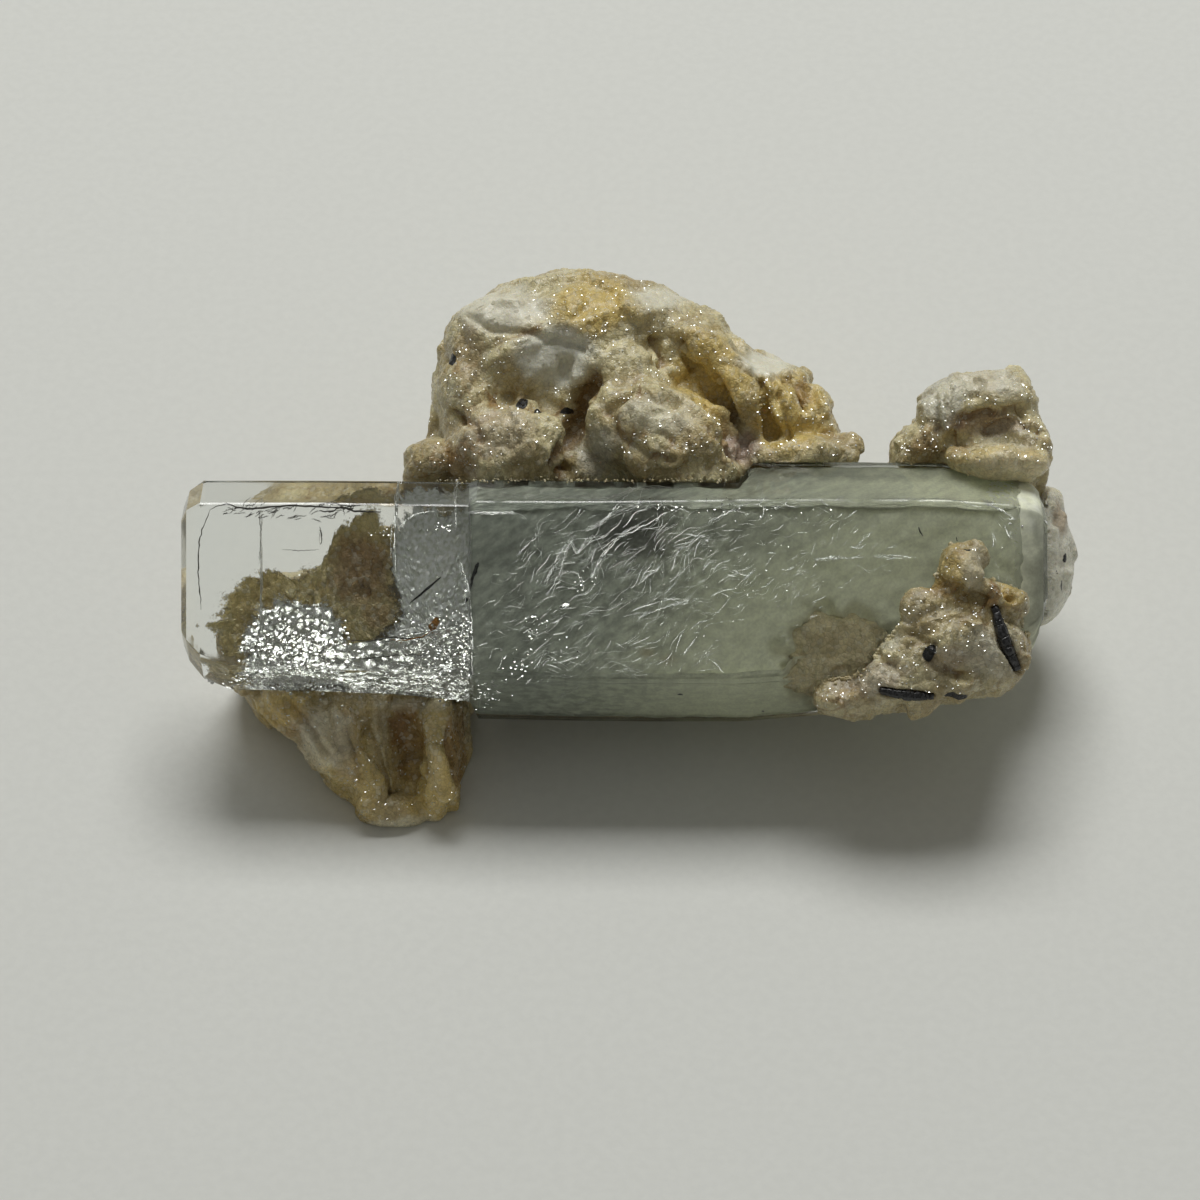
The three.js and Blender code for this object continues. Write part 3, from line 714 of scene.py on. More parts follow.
def sugar_group():
    """Sugary grains: cells on Object coordinates with a shade of their own, a dark gap between them and a
    height."""
    name = "Sugar"
    if name in bpy.data.node_groups:
        return bpy.data.node_groups[name]
    tree, source, sink = new_group(
        name,
        [("Cell Scale", 4000.0)],
        [("Shade", "NodeSocketFloat"), ("Gap", "NodeSocketFloat"), ("Height", "NodeSocketFloat")],
    )
    inputs = {"Vector": object_place(tree), "Scale": source["Cell Scale"]}
    grain = node(tree, "ShaderNodeTexVoronoi", inputs)
    edge = node(tree, "ShaderNodeTexVoronoi", inputs, feature="DISTANCE_TO_EDGE").outputs["Distance"]
    split = node(tree, "ShaderNodeSeparateColor", {"Color": grain.outputs["Color"]})
    tree.links.new(split.outputs["Green"], sink["Shade"])
    tree.links.new(ramp(tree, edge, 0.0, 0.12, 1.0, 0.0), sink["Gap"])
    tree.links.new(ramp(tree, edge, 0.0, 0.3), sink["Height"])
    return tree


def sugar(tree, cell):
    """Places the sugar group with grains of a width in metres."""
    return node(tree, "ShaderNodeGroup", {"Cell Scale": 1 / cell}, node_tree=sugar_group()).outputs


def fray(tree, shader):
    """Lets a film end raggedly where its mesh says that it gives out."""
    broken = times(tree, object_noise(tree, 0.16 * MM, 4.0), 1.4)
    cover = maths(tree, "ADD", read(tree, "cover"), maths(tree, "SUBTRACT", broken, 0.7))
    feed(tree, shader, {"Alpha": ramp(tree, cover, 0.15, 0.75)})


# Materials


def albite_material(name, cream_share, painted_shade_factor=1.0):
    """Granular albite: cream to tan by noise, tinted in spots and hollows, in sugary grains that
    glitter; a factor below 1 dims the whole material as painted shade."""
    material, tree, shader = new_material(name)
    stained = ramp(tree, object_noise(tree, 2.6 * MM, 4.0), cream_share - 0.14, cream_share + 0.14)
    base = mix(tree, stained, paint("cream"), paint("tan"))
    base = mix(tree, ramp(tree, read(tree, "hollow"), 0.3, 1.0, 0, 0.75), base, paint("rust"))
    for tint in TINTS[:-1]:
        base = mix(tree, read(tree, tint), base, paint(tint))
    coarse = sugar(tree, 0.24 * MM)
    fine = sugar(tree, 0.12 * MM)
    grainy = ramp(tree, read(tree, "pale"), 0.2, 1.0, 1.0, 0.25)
    white_grains = times(tree, ramp(tree, coarse["Shade"], 0.72, 0.95), 0.3)
    base = mix(tree, times(tree, white_grains, grainy), base, paint("pale"))
    spread = times(tree, maths(tree, "SUBTRACT", read(tree, "number"), 0.5), grainy)
    # Grain-to-grain tone, times the factor that dims a copy of the albite as painted shade
    base = darken(tree, base, maths(tree, "ADD", times(tree, spread, 0.25), painted_shade_factor))
    gaps = times(tree, times(tree, coarse["Gap"], grainy), 0.2)
    base = darken(tree, base, maths(tree, "SUBTRACT", 1.0, gaps))
    facets = glitter(tree, 0.2 * MM, times(tree, grainy, 0.85), 0.7)
    sparks = glitter(tree, 0.13 * MM, times(tree, grainy, 0.3), 1.0)
    height = times(tree, maths(tree, "ADD", coarse["Height"], times(tree, fine["Height"], 0.5)), grainy)
    finish = {
        "Base Color": mix(tree, ramp(tree, read(tree, "dark"), 0.35, 0.6), base, paint("dark")),
        "Roughness": maths(tree, "SUBTRACT", 0.5, times(tree, sparks["Mask"], 0.3)),
        "Normal": bumped(tree, height, 0.4, 0.05 * MM, facets["Normal"]),
        "Coat Weight": 0.35,
        "Coat Roughness": 0.3,
        "Subsurface Weight": 0.2,
        "Subsurface Radius": (0.9 * MM, 0.7 * MM, 0.4 * MM),
        "Subsurface Scale": 1.0,
    }
    feed(tree, shader, finish)
    return material


def frayed(material):
    """The material as a film that ends raggedly."""
    tree = material.node_tree
    fray(tree, tree.nodes["Principled BSDF"])
    return material


def beryl_material():
    """The clear beryl of the whole prism's skin: faint growth ripples, frosted on its edges and broken
    end, and an even absorption inside."""
    material, tree, shader = new_material("aquamarine_clear")
    ripples = object_noise(tree, 0.5 * MM, 2.0, (16, 1, 1))
    frosted = ramp(tree, object_noise(tree, 0.25 * MM, 4.0), 0.3, 0.6, 0.5, 1.0)
    frosted = times(tree, frosted, times(tree, read(tree, "frost"), 0.6))
    finish = {
        "Base Color": (*paint("tip"), 1),
        "Roughness": maths(tree, "ADD", ramp(tree, ripples, 0.3, 0.7, 0.0, 0.05), frosted),
        "Normal": bumped(tree, ripples, 0.25, 0.02 * MM),
        "IOR": BERYL_IOR,
        "Transmission Weight": 1.0,
    }
    feed(tree, shader, finish)
    inputs = {"Color": (0.80, 0.93, 0.88, 1), "Density": 18.0}
    volume = node(tree, "ShaderNodeVolumeAbsorption", inputs).outputs["Volume"]
    feed(tree, tree.nodes["Material Output"], {"Volume": volume})
    return material


def core_material():
    """The milk inside the body: it thickens to the right, with soft streaks that run up to the right,
    and is darkened by painted shade where its shade mask says.
    """
    material, tree, shader = new_material("milky_core")
    base = mix(tree, read(tree, "milk"), paint("deep"), paint("cloud"))
    streaks = object_noise(tree, 0.36 * MM, 9.0, (4, 1, 1), (0, 0, math.radians(40)))
    swing = ramp(tree, read(tree, "milk"), 0.2, 0.9, 0.24, 0.08)
    swing = times(tree, ramp(tree, streaks, 0.32, 0.68, -1.0, 1.0), swing)
    base = darken(tree, base, maths(tree, "ADD", swing, 1.0))
    haze = object_noise(tree, 0.14 * MM, 4.0)
    base = darken(tree, base, ramp(tree, haze, 0.3, 0.7, 0.93, 1.07))
    base = mix(tree, read(tree, "brown"), base, paint("tan"))
    base = mix(tree, read(tree, "frost"), base, paint("veil"))
    # Painted shade: the shade mask darkens the core in spots
    base = darken(tree, base, ramp(tree, read(tree, "shade"), 0.0, 1.0, 1.0, 0.3))
    feed(tree, shader, {"Base Color": base, "Roughness": 0.8})
    return material


def silver_material(name, whiteness, metallic, roughness, tilt):
    """Air in a crack or against the prism's back: silvery flakes, each with a tilt of its own."""
    material, tree, shader = new_material(name)
    speckle = ramp(tree, object_noise(tree, 0.22 * MM, 5.0), 0.36, 0.62)
    dull = tuple(whiteness * part for part in (0.74, 0.76, 0.68))
    bright = tuple(whiteness * part for part in (0.97, 0.98, 0.97))
    finish = {
        "Base Color": mix(tree, speckle, dull, bright),
        "Metallic": metallic,
        "Roughness": ramp(tree, speckle, 0.0, 1.0, roughness + 0.1, roughness),
        "Normal": glitter(tree, 0.17 * MM, 0.9, tilt)["Normal"],
    }
    feed(tree, shader, finish)
    return material


def veil_material(name, tint, metallic, roughness):
    """A healed crack's line in the prism: uneven, with a silky shine where it is metallic."""
    material, tree, shader = new_material(name)
    uneven = ramp(tree, object_noise(tree, 0.3 * MM, 3.0), 0.35, 0.6)
    base = mix(tree, uneven, tuple(0.6 * part for part in tint), tint)
    feed(tree, shader, {"Base Color": base, "Roughness": roughness, "Metallic": metallic})
    return material


def crack_material():
    """A crack right across the prism, which shows as far as its mesh says and breaks up finely."""
    material, tree, shader = new_material("cross_crack")
    broken = ramp(tree, object_noise(tree, 0.22 * MM, 4.0), 0.35, 0.65, 0.2, 0.5)
    alpha = times(tree, read(tree, "cover"), broken)
    feed(tree, shader, {"Base Color": (*paint("veil"), 1), "Roughness": 0.3, "Alpha": alpha})
    return material


def schorl_material():
    """Black tourmaline: glossy, with fine grooves."""
    material, tree, shader = new_material("schorl")
    grooves = object_noise(tree, 0.12 * MM, 3.0)
    finish = {
        "Base Color": mix(tree, ramp(tree, grooves, 0.4, 0.7), paint("dark"), (0.05, 0.05, 0.055)),
        "Roughness": ramp(tree, grooves, 0.3, 0.7, 0.18, 0.45),
        "Normal": bumped(tree, grooves, 0.5, 0.03 * MM),
    }
    feed(tree, shader, finish)
    return material


def paper_material():
    """Plain pale paper with a fine tooth."""
    material, tree, shader = new_material("paper")
    tooth = object_noise(tree, 0.5 * MM, 4.0)
    shaded = tuple(0.97 * part for part in paint("paper"))
    finish = {
        "Base Color": mix(tree, ramp(tree, tooth, 0.3, 0.7), shaded, paint("paper")),
        "Roughness": 0.9,
        "Normal": bumped(tree, tooth, 0.25, 0.05 * MM),
    }
    feed(tree, shader, finish)
    return material


# Prism


def prism_sides(x):
    """Top, bottom, front, back and chipped width of the prism at places along it."""
    return [np.interp(x, PRISM[:, 0], PRISM[:, i]) for i in range(1, 6)]


def side_band(front, back):
    """How high each sloping side of the prism stands in the picture plane."""
    return (front - back) / 2 / math.sqrt(3)


def prism_skin(stations, across_broad, across_narrow, bevel=EDGE_BEVEL):
    """Rings of points at stations along x: a hexagon with bevelled corners whose height, depth and
    chipped upper edge run straight between the sections, each side split evenly."""
    top, bottom, front, back, chip = prism_sides(stations)
    middle = (front + back) / 2
    band = side_band(front, back)
    heights = [top, top - band, bottom + band, bottom, bottom + band, top - band]
    depths = [middle, back, back, middle, front, front]
    corners = np.stack([np.stack(heights, axis=1), np.stack(depths, axis=1)], axis=2)
    cuts = np.full(corners.shape[:2], float(bevel))
    cuts[:, 0] += chip * CORNER_SPREAD
    ends = []
    for step in (1, -1):
        side = np.roll(corners, step, axis=1) - corners
        ends.append(corners + side * (cuts / np.linalg.norm(side, axis=2))[..., None])
    polygon = np.stack(ends, axis=2).reshape(len(stations), 12, 2)
    sides = np.roll(polygon, -1, axis=1) - polygon
    pieces = []
    for i in range(12):
        broad = i in (3, 9)
        count = 1 if i % 2 == 0 else across_broad if broad else across_narrow
        share = np.arange(count) / count
        pieces.append(polygon[:, i, None] + sides[:, i, None] * share[None, :, None])
    ring = np.concatenate(pieces, axis=1)
    x = np.broadcast_to(stations[:, None, None], (*ring.shape[:2], 1))
    return np.concatenate([x, ring], axis=2)


def prism_relief(points):
    """How far the prism's skin is worn in: striations drawn out along x, broad growth ledges, the rough
    broken end and a notch along the tip's lower edge."""
    fine = 0.5 + 0.5 * waves(points, 0.3, 11, (0.05, 1, 1))
    broad = 0.5 + 0.5 * waves(points, 1.3, 12, (0.12, 1, 1))
    ledges = np.floor(broad * 5) / 5
    body = smooth(points[:, 0], -6.5, -6.0)
    depth = 0.008 + 0.012 * fine * (0.4 + 0.6 * body) + 0.06 * ledges * (0.25 + 0.75 * body)
    broken = smooth(points[:, 0], 20.2, 21.8)
    ridge, _ = grains(points, 1.1, 13)
    edge = [(-18.2, -4.6), (-16.5, -4.15), (-15.0, -4.0), (-12.7, -4.4)]
    notch = smooth(0.35 - stroke_away(points, edge), 0, 0.35)
    return depth + broken * 0.35 * (1 - ridge) + 0.25 * notch * (points[:, 2] > 0.5)


def prism_body(stations, across_broad, across_narrow, inset):
    """The prism's closed skin from its first station to its last, set in by a depth at each point: its
    points, and its walls and two fans of end faces."""
    skin = prism_skin(stations, across_broad, across_narrow, WORN_BEVEL)
    rows, columns = skin.shape[:2]
    tangent = np.roll(skin, -1, axis=1) - np.roll(skin, 1, axis=1)
    outward = unit(np.cross(tangent, np.array([1.0, 0, 0])))
    from_axis = skin - skin.mean(axis=1, keepdims=True)
    outward *= np.sign(np.sum(outward * from_axis, axis=2, keepdims=True))
    points = skin.reshape(-1, 3)
    points = points - outward.reshape(-1, 3) * inset(points)[:, None]
    points = np.concatenate([points, [points[:columns].mean(0), points[-columns:].mean(0)]])
    return points, [faces[:, ::-1] for faces in capped_faces(rows, columns)]


def core_inset(points):
    """How deep the milky core lies under the prism's skin: it rises and sinks in soft swells, comes up to
    the broken end and makes room for the sunken albite."""
    depth = 0.6 + 0.18 * waves(points, 1.6, 16) + 0.1 * waves(points, 0.5, 17)
    depth *= 1 - 0.8 * smooth(points[:, 0], 19.6, 21.0)
    return depth + 0.8 * spot(points, 11.8, -2.9, 2.8, 2.4, 0.7) * (points[:, 2] > -0.5)


class MINERAL_OT_build_prism(bpy.types.Operator):
    """Builds the aquamarine prism's clear skin, with its striations and ledges, and its milky core"""

    bl_idname = "mineral.build_prism"
    bl_label = "Build the prism"

    def execute(self, context):
        self.skin()
        self.core()
        return {"FINISHED"}

    def skin(self):
        """The clear skin, frosted along its edges and in a few spots."""
        broad, narrow = 30, 10
        even = np.linspace(PRISM[0, 0], PRISM[-1, 0], 300)
        stations = np.unique(np.concatenate([even, PRISM[:, 0]]))
        points, faces = prism_body(stations, broad, narrow, prism_relief)
        column = np.arange(len(points)) % (6 + 2 * broad + 4 * narrow)
        starts = np.cumsum([0, 1, narrow, 1, broad, 1, narrow, 1, narrow, 1, broad, 1])
        on_edge = np.isin(column, np.concatenate([starts, starts + 1]))
        spots = [(0.9, 21.5, 1.5, 1.1, 5.5), (0.6, 20.2, 5.3, 1.2, 0.8), (0.4, -5.6, -3.8, 1.2, 1.4)]
        masks = {"frost": np.maximum(most(points, spots), 0.35 * on_edge)}
        nodes = ["aquamarine_prism"]
        specimen_piece("prism_skin", to_row(points), faces, beryl_material(), nodes, 20, masks)

    def core(self):
        """The milky core, with its spots of painted shade and its whitened and brown spots."""
        points, faces = prism_body(np.linspace(-6.35, 22.0, 220), 40, 14, core_inset)
        x, y = points[:, 0], points[:, 1]
        whitened = smooth(x + 0.8 * waves(points, 0.9, 18, (0.5, 1, 1)), 19.8, 21.2) * smooth(y, 1.5, 5.0)
        # Spots of painted shade, deep in the body, along its top and bottom edges and at its broken end:
        # strength, middle's x and y, half width and height
        shade = [(0.95, 2.0, 3.4, 2.6, 2.0), (0.3, -4.6, 2.2, 2.2, 2.6), (0.4, 7.0, 3.6, 3.0, 2.0)]
        shade += [(0.5, 1, -6.0, 9, 1), (0.8, 8, 6.3, 14, 1.1), (0.95, 22.2, 0.6, 2.2, 5.6)]
        shade += [(0.4, 13, 4.6, 6, 1.8)]
        brown = [(0.5, 2.3, -2.6, 0.5, 0.35), (0.35, 3.4, -2.9, 0.5, 0.3), (0.8, 11.4, -2.9, 2.3, 2.4)]
        masks = {
            "milk": smooth(x * 0.075 - y * 0.05 + 0.2 * waves(points, 3.0, 15), -0.35, 1.0),
            "frost": whitened * (0.35 + 0.35 * waves(points, 0.35, 19)),
            "shade": most(points, shade, 0.0),
            "brown": most(points, brown, 0.2),
        }
        specimen_piece("milky_core", to_row(points), faces, core_material(), masks=masks)


# Flaws inside the prism

# White veils: strength, how deep one lies beside the others, and the places each line runs through
VEIL_ON_TOP = [(-2.3, 5.0), (-1.4, 5.05), (0.0, 4.95), (1.05, 5.25), (1.6, 5.45), (2.7, 5.6), (3.7, 5.5)]
VEILS = [
    (1.0, 0.15, VEIL_ON_TOP + [(5.2, 5.45)]),
    (0.8, 0.2, [(-6.5, 4.3), (-5.2, 4.33), (-4.1, 4.3), (-3.6, 4.0)]),
    (0.6, 0.2, [(-5.0, 5.1), (-3.6, 5.0), (-2.4, 5.05), (1.0, 4.9)]),
    (0.8, 0.5, [(-4.1, 2.2), (-3.5, 2.8), (-2.8, 3.4)]),
    (0.9, 0.4, [(-2.65, 0.8), (-2.1, 2.1), (-1.45, 3.1)]),
    (1.0, 0.3, [(-0.6, 3.4), (0.0, 3.8), (0.75, 4.55), (1.65, 5.4)]),
    (1.0, 0.4, [(-0.45, 1.1), (-0.1, 1.75), (0.45, 2.5), (0.75, 2.9), (1.55, 3.35), (2.6, 3.9), (3.2, 4.3)]),
    (0.8, 0.4, [(-1.4, 2.9), (-1.1, 2.3), (-0.7, 3.0), (-0.4, 3.2), (0.0, 2.7), (0.35, 2.1)]),
    (0.8, 0.5, [(-2.0, 1.35), (-1.1, 1.3), (-0.9, 1.0), (-0.8, 0.4)]),
    (0.7, 0.6, [(-1.3, 3.0), (-1.7, 2.4), (-1.9, 1.6), (-2.6, 0.2)]),
    (0.8, 0.5, [(5.3, 3.8), (6.1, 4.2), (6.75, 4.4), (7.3, 4.2)]),
    (0.7, 0.7, [(1.9, -0.9), (2.7, -0.55), (3.65, -0.25), (4.5, -0.15)]),
    (0.7, 0.5, [(-2.3, -4.8), (-1.4, -4.4), (-0.6, -4.05)]),
    (0.7, 0.5, [(-1.0, -5.1), (-0.4, -4.8)]),
    (0.9, 0.1, [(10.6, 2.0), (11.6, 2.05), (12.6, 2.1), (13.0, 2.1)]),
    (0.7, 0.1, [(13.6, 2.15), (14.6, 2.2), (15.6, 2.1)]),
    (0.6, 0.1, [(14.4, 4.95), (16.2, 4.95), (17.6, 4.9), (19.0, 4.5)]),
    (0.9, 0.3, [(18.9, 4.8), (19.7, 4.5), (20.5, 4.0)]),
    (0.6, 0.8, [(21.3, 4.6), (21.5, 2.0), (21.4, -0.4)]),
    (0.6, 0.5, [(21.0, 5.2), (21.2, 3.4), (21.15, 1.2), (20.9, -1.0)]),
    (0.9, 0.3, [(-6.35, -4.6), (-6.3, -2.4), (-6.4, 0.25)]),
    (0.7, 0.3, [(-6.4, 0.25), (-6.95, 2.1)]),
    (0.8, 0.4, [(-10.1, 5.9), (-10.05, 4.6), (-10.15, 3.2), (-10.1, 1.4)]),
    (0.6, 0.5, [(-9.95, 3.6), (-9.2, 4.2), (-8.4, 4.35), (-7.3, 4.4)]),
    (0.5, 0.4, [(-7.15, 6.0), (-7.1, 3.4)]),
    (0.6, 1.2, [(-18.6, -4.1), (-16.4, -3.9), (-14.8, -3.75), (-13.2, -4.1), (-11.2, -4.35), (-9.0, -4.8)]),
]
# Growth steps and cracks in the clear tip, drawn as dark lines of painted shade where their small ledges turn
# the light away: thickness, depth and places
LONG_STEP = [(-19.2, 4.5), (-18.6, 4.7), (-17.4, 4.5), (-16.2, 4.6), (-15, 4.65), (-14, 4.6), (-12.2, 4.5)]
STEPS_IN_TIP = [
    (0.06, 0.15, LONG_STEP),
    (0.05, 0.15, [(-13.9, 4.7), (-13.2, 4.75), (-12.5, 4.65), (-11.8, 4.7), (-10.9, 4.75)]),
    (0.06, 0.15, [(-13.9, 4.4), (-13.2, 4.4), (-12.9, 4.55), (-12.0, 4.4), (-10.8, 4.35)]),
    (0.035, 0.2, [(-19.25, 4.5), (-19.75, 3.0), (-19.8, 1.0), (-19.7, -0.5)]),
    (0.02, 0.2, [(-16.85, 4.4), (-16.75, 3.4), (-16.85, 1.8)]),
    (0.04, 0.4, [(-13.85, 3.6), (-13.75, 3.2), (-13.8, 2.7)]),
    (0.02, 0.3, [(-15.7, 2.5), (-14.9, 2.45), (-13.9, 2.5)]),
    (0.04, 0.4, [(-12.3, -2.0), (-11.2, -2.0), (-10.2, -1.85), (-9.2, -1.9), (-8.6, -1.75), (-8.25, -1.4)]),
    (0.03, 0.4, [(-12.3, -2.9), (-11.0, -2.85), (-9.8, -2.7), (-8.6, -2.75)]),
    (0.03, 0.4, [(-11.8, -3.9), (-10.4, -3.8), (-9.0, -3.9), (-7.6, -3.7)]),
    (0.015, 0.5, [(-8.1, -1.9), (-7.5, -2.8)]),
    (0.02, 0.7, [(-17.2, -2.1), (-16.6, -1.8), (-16.0, -1.75)]),
]
# Black needles and specks frozen in the prism: thickness, depth and places
NEEDLES_INSIDE = [
    (0.07, 0.35, [(-9.4, -0.15), (-8.6, 0.5), (-7.85, 1.15)]),
    (0.11, 0.6, [(-6.45, 0.35), (-6.25, 1.1), (-6.0, 1.85)]),
    (0.09, 0.5, [(-6.65, -0.1), (-6.55, 0.1)]),
    (0.1, 0.3, [(3.85, -4.65), (3.98, -4.62), (4.1, -4.66)]),
    (0.05, 0.3, [(8.1, -5.5), (8.2, -5.52)]),
    (0.04, 0.5, [(-1.15, -2.5), (-1.05, -2.55)]),
    (0.04, 0.5, [(15.75, 3.6), (15.85, 3.3), (15.95, 3.15)]),
    (0.03, 0.5, [(17.6, 3.1), (17.65, 2.9)]),
]


def lie_inside(places, depth):
    """Places in the picture plane set a depth below the front face of the prism, and kept inside its
    sides."""
    least_above_back = 0.3
    top, bottom, front, back, _ = prism_sides(places[..., 0])
    slope = np.minimum(top - places[..., 1], places[..., 1] - bottom) / side_band(front, back)
    face = np.minimum(front, (front + back) / 2 + (front - back) / 2 * np.clip(slope, 0, 1))
    z = np.maximum(face - depth, back + least_above_back)
    return np.concatenate([places, z[..., None]], axis=-1)


def to_the_light(random, count, spread, slope=LIT_SLOPE):
    """Facings of flakes in the prism that throw the window's light out through the front face, scattered
    a little."""
    straight = np.stack([np.zeros(count), np.broadcast_to(slope, count), np.ones(count)], axis=1)
    return unit(straight + random.normal(0, spread, (count, 3)))


def leaning_depth(places, depth):
    """Depths along lines, N by K, that let them lie in flakes turned to the light: in steps a millimetre
    high."""
    rise = places[..., 1] - places[..., 1].min(axis=1, keepdims=True)
    return depth + LIT_SLOPE * np.mod(rise, 1.0)


def lines(name, table, count, material, random, wander, spread=None):
    """One mesh of the threads in a table, each thinning to its ends and wandering a little; ribbons that
    face the light where a spread is given."""
    lit = spread is not None
    paths = np.stack([smooth_path(path, count) for _, _, path in table])
    wide = np.array([row[0] for row in table])
    depths = np.array([row[1] for row in table])
    paths = paths + random.normal(0, wander, paths.shape)
    depths = depths[:, None] + random.normal(0, 0.5 * wander, paths.shape[:2])
    paths = lie_inside(paths, leaning_depth(paths, depths) if lit else depths)
    taper = np.sin(np.pi * np.clip(np.linspace(0, 1, count), 0.02, 0.98)) ** 0.35
    radii = wide[:, None] * taper * random.uniform(0.55, 1.0, (len(table), count))
    facings = to_the_light(random, len(table), spread) if lit else None
    points, faces = threads(paths, radii, facings)
    return specimen_piece(name, to_row(points), [faces], material, sharp=40 if lit else None)


def feathered(table, copies, random):
    """A table of lines in which each has thinner companions that fan out from it on one side."""
    rows = []
    for wide, depth, path in table:
        path = np.array(path, float)
        rows.append((wide, depth, path))
        run = np.linspace(0, 1, len(path))[:, None]
        side = random.choice([-1, 1])
        for _ in range(copies):
            low = random.uniform(0, 0.35)
            drift = side * np.array([0.35, -0.3]) * random.uniform(0.2, 1.0) * (run - low)
            shifted = path + drift + random.normal(0, 0.05, path.shape)
            short = smooth_path(shifted, 12)[: int(random.integers(6, 12))]
            rows.append((wide * random.uniform(0.3, 0.6), depth + random.uniform(0, 0.5), short[::2]))
    return rows


def flow_paths(random, count, middle, reach, angle, longest, steps):
    """Short lines scattered over an oval, that follow a wandering direction: N by steps places in the
    picture plane."""
    turn = random.uniform(0, 2 * math.pi, count)
    out = np.sqrt(random.uniform(0, 1, count))
    across = middle[0] + reach[0] * out * np.cos(turn)
    high = middle[1] + reach[1] * out * np.sin(turn)
    place = np.stack([across, high], axis=1)
    own = random.normal(0, 0.3, count)
    stride = random.uniform(0.3, 1.0, count) * longest / steps
    path = [place]
    for _ in range(steps - 1):
        flat = np.concatenate([place, np.zeros((count, 1))], axis=1)
        heading = math.radians(angle) + own + 0.7 * waves(flat, 1.6, 41) + 0.6 * waves(flat, 0.5, 42)
        place = place + np.stack([np.cos(heading), np.sin(heading)], axis=1) * stride[:, None]
        path.append(place)
    return np.stack(path, axis=1)


def crumpled(level, size, slope, rough, finest):
    """The height of a film's front skin about a level: steps of a size that lean by a slope, with finer
    ones away from the smooth middle of the silver film."""

    def height(flat):
        flat = np.concatenate([flat, np.zeros((len(flat), 1))], axis=1)
        steps = blocks(flat * np.array([1.6, 1, 1]), size, 51, (0, -slope / rough, 0), 60)
        apart = np.hypot((flat[:, 0] + 14.7) / 2.6, (flat[:, 1] + 3.0) / 1.7)
        restless = finest * smooth(apart, 0.5, 1.6)
        return level + 0.5 * size * (rough * steps + restless * blocks(flat, 0.5 * size, 52, sharpness=40))

    return height


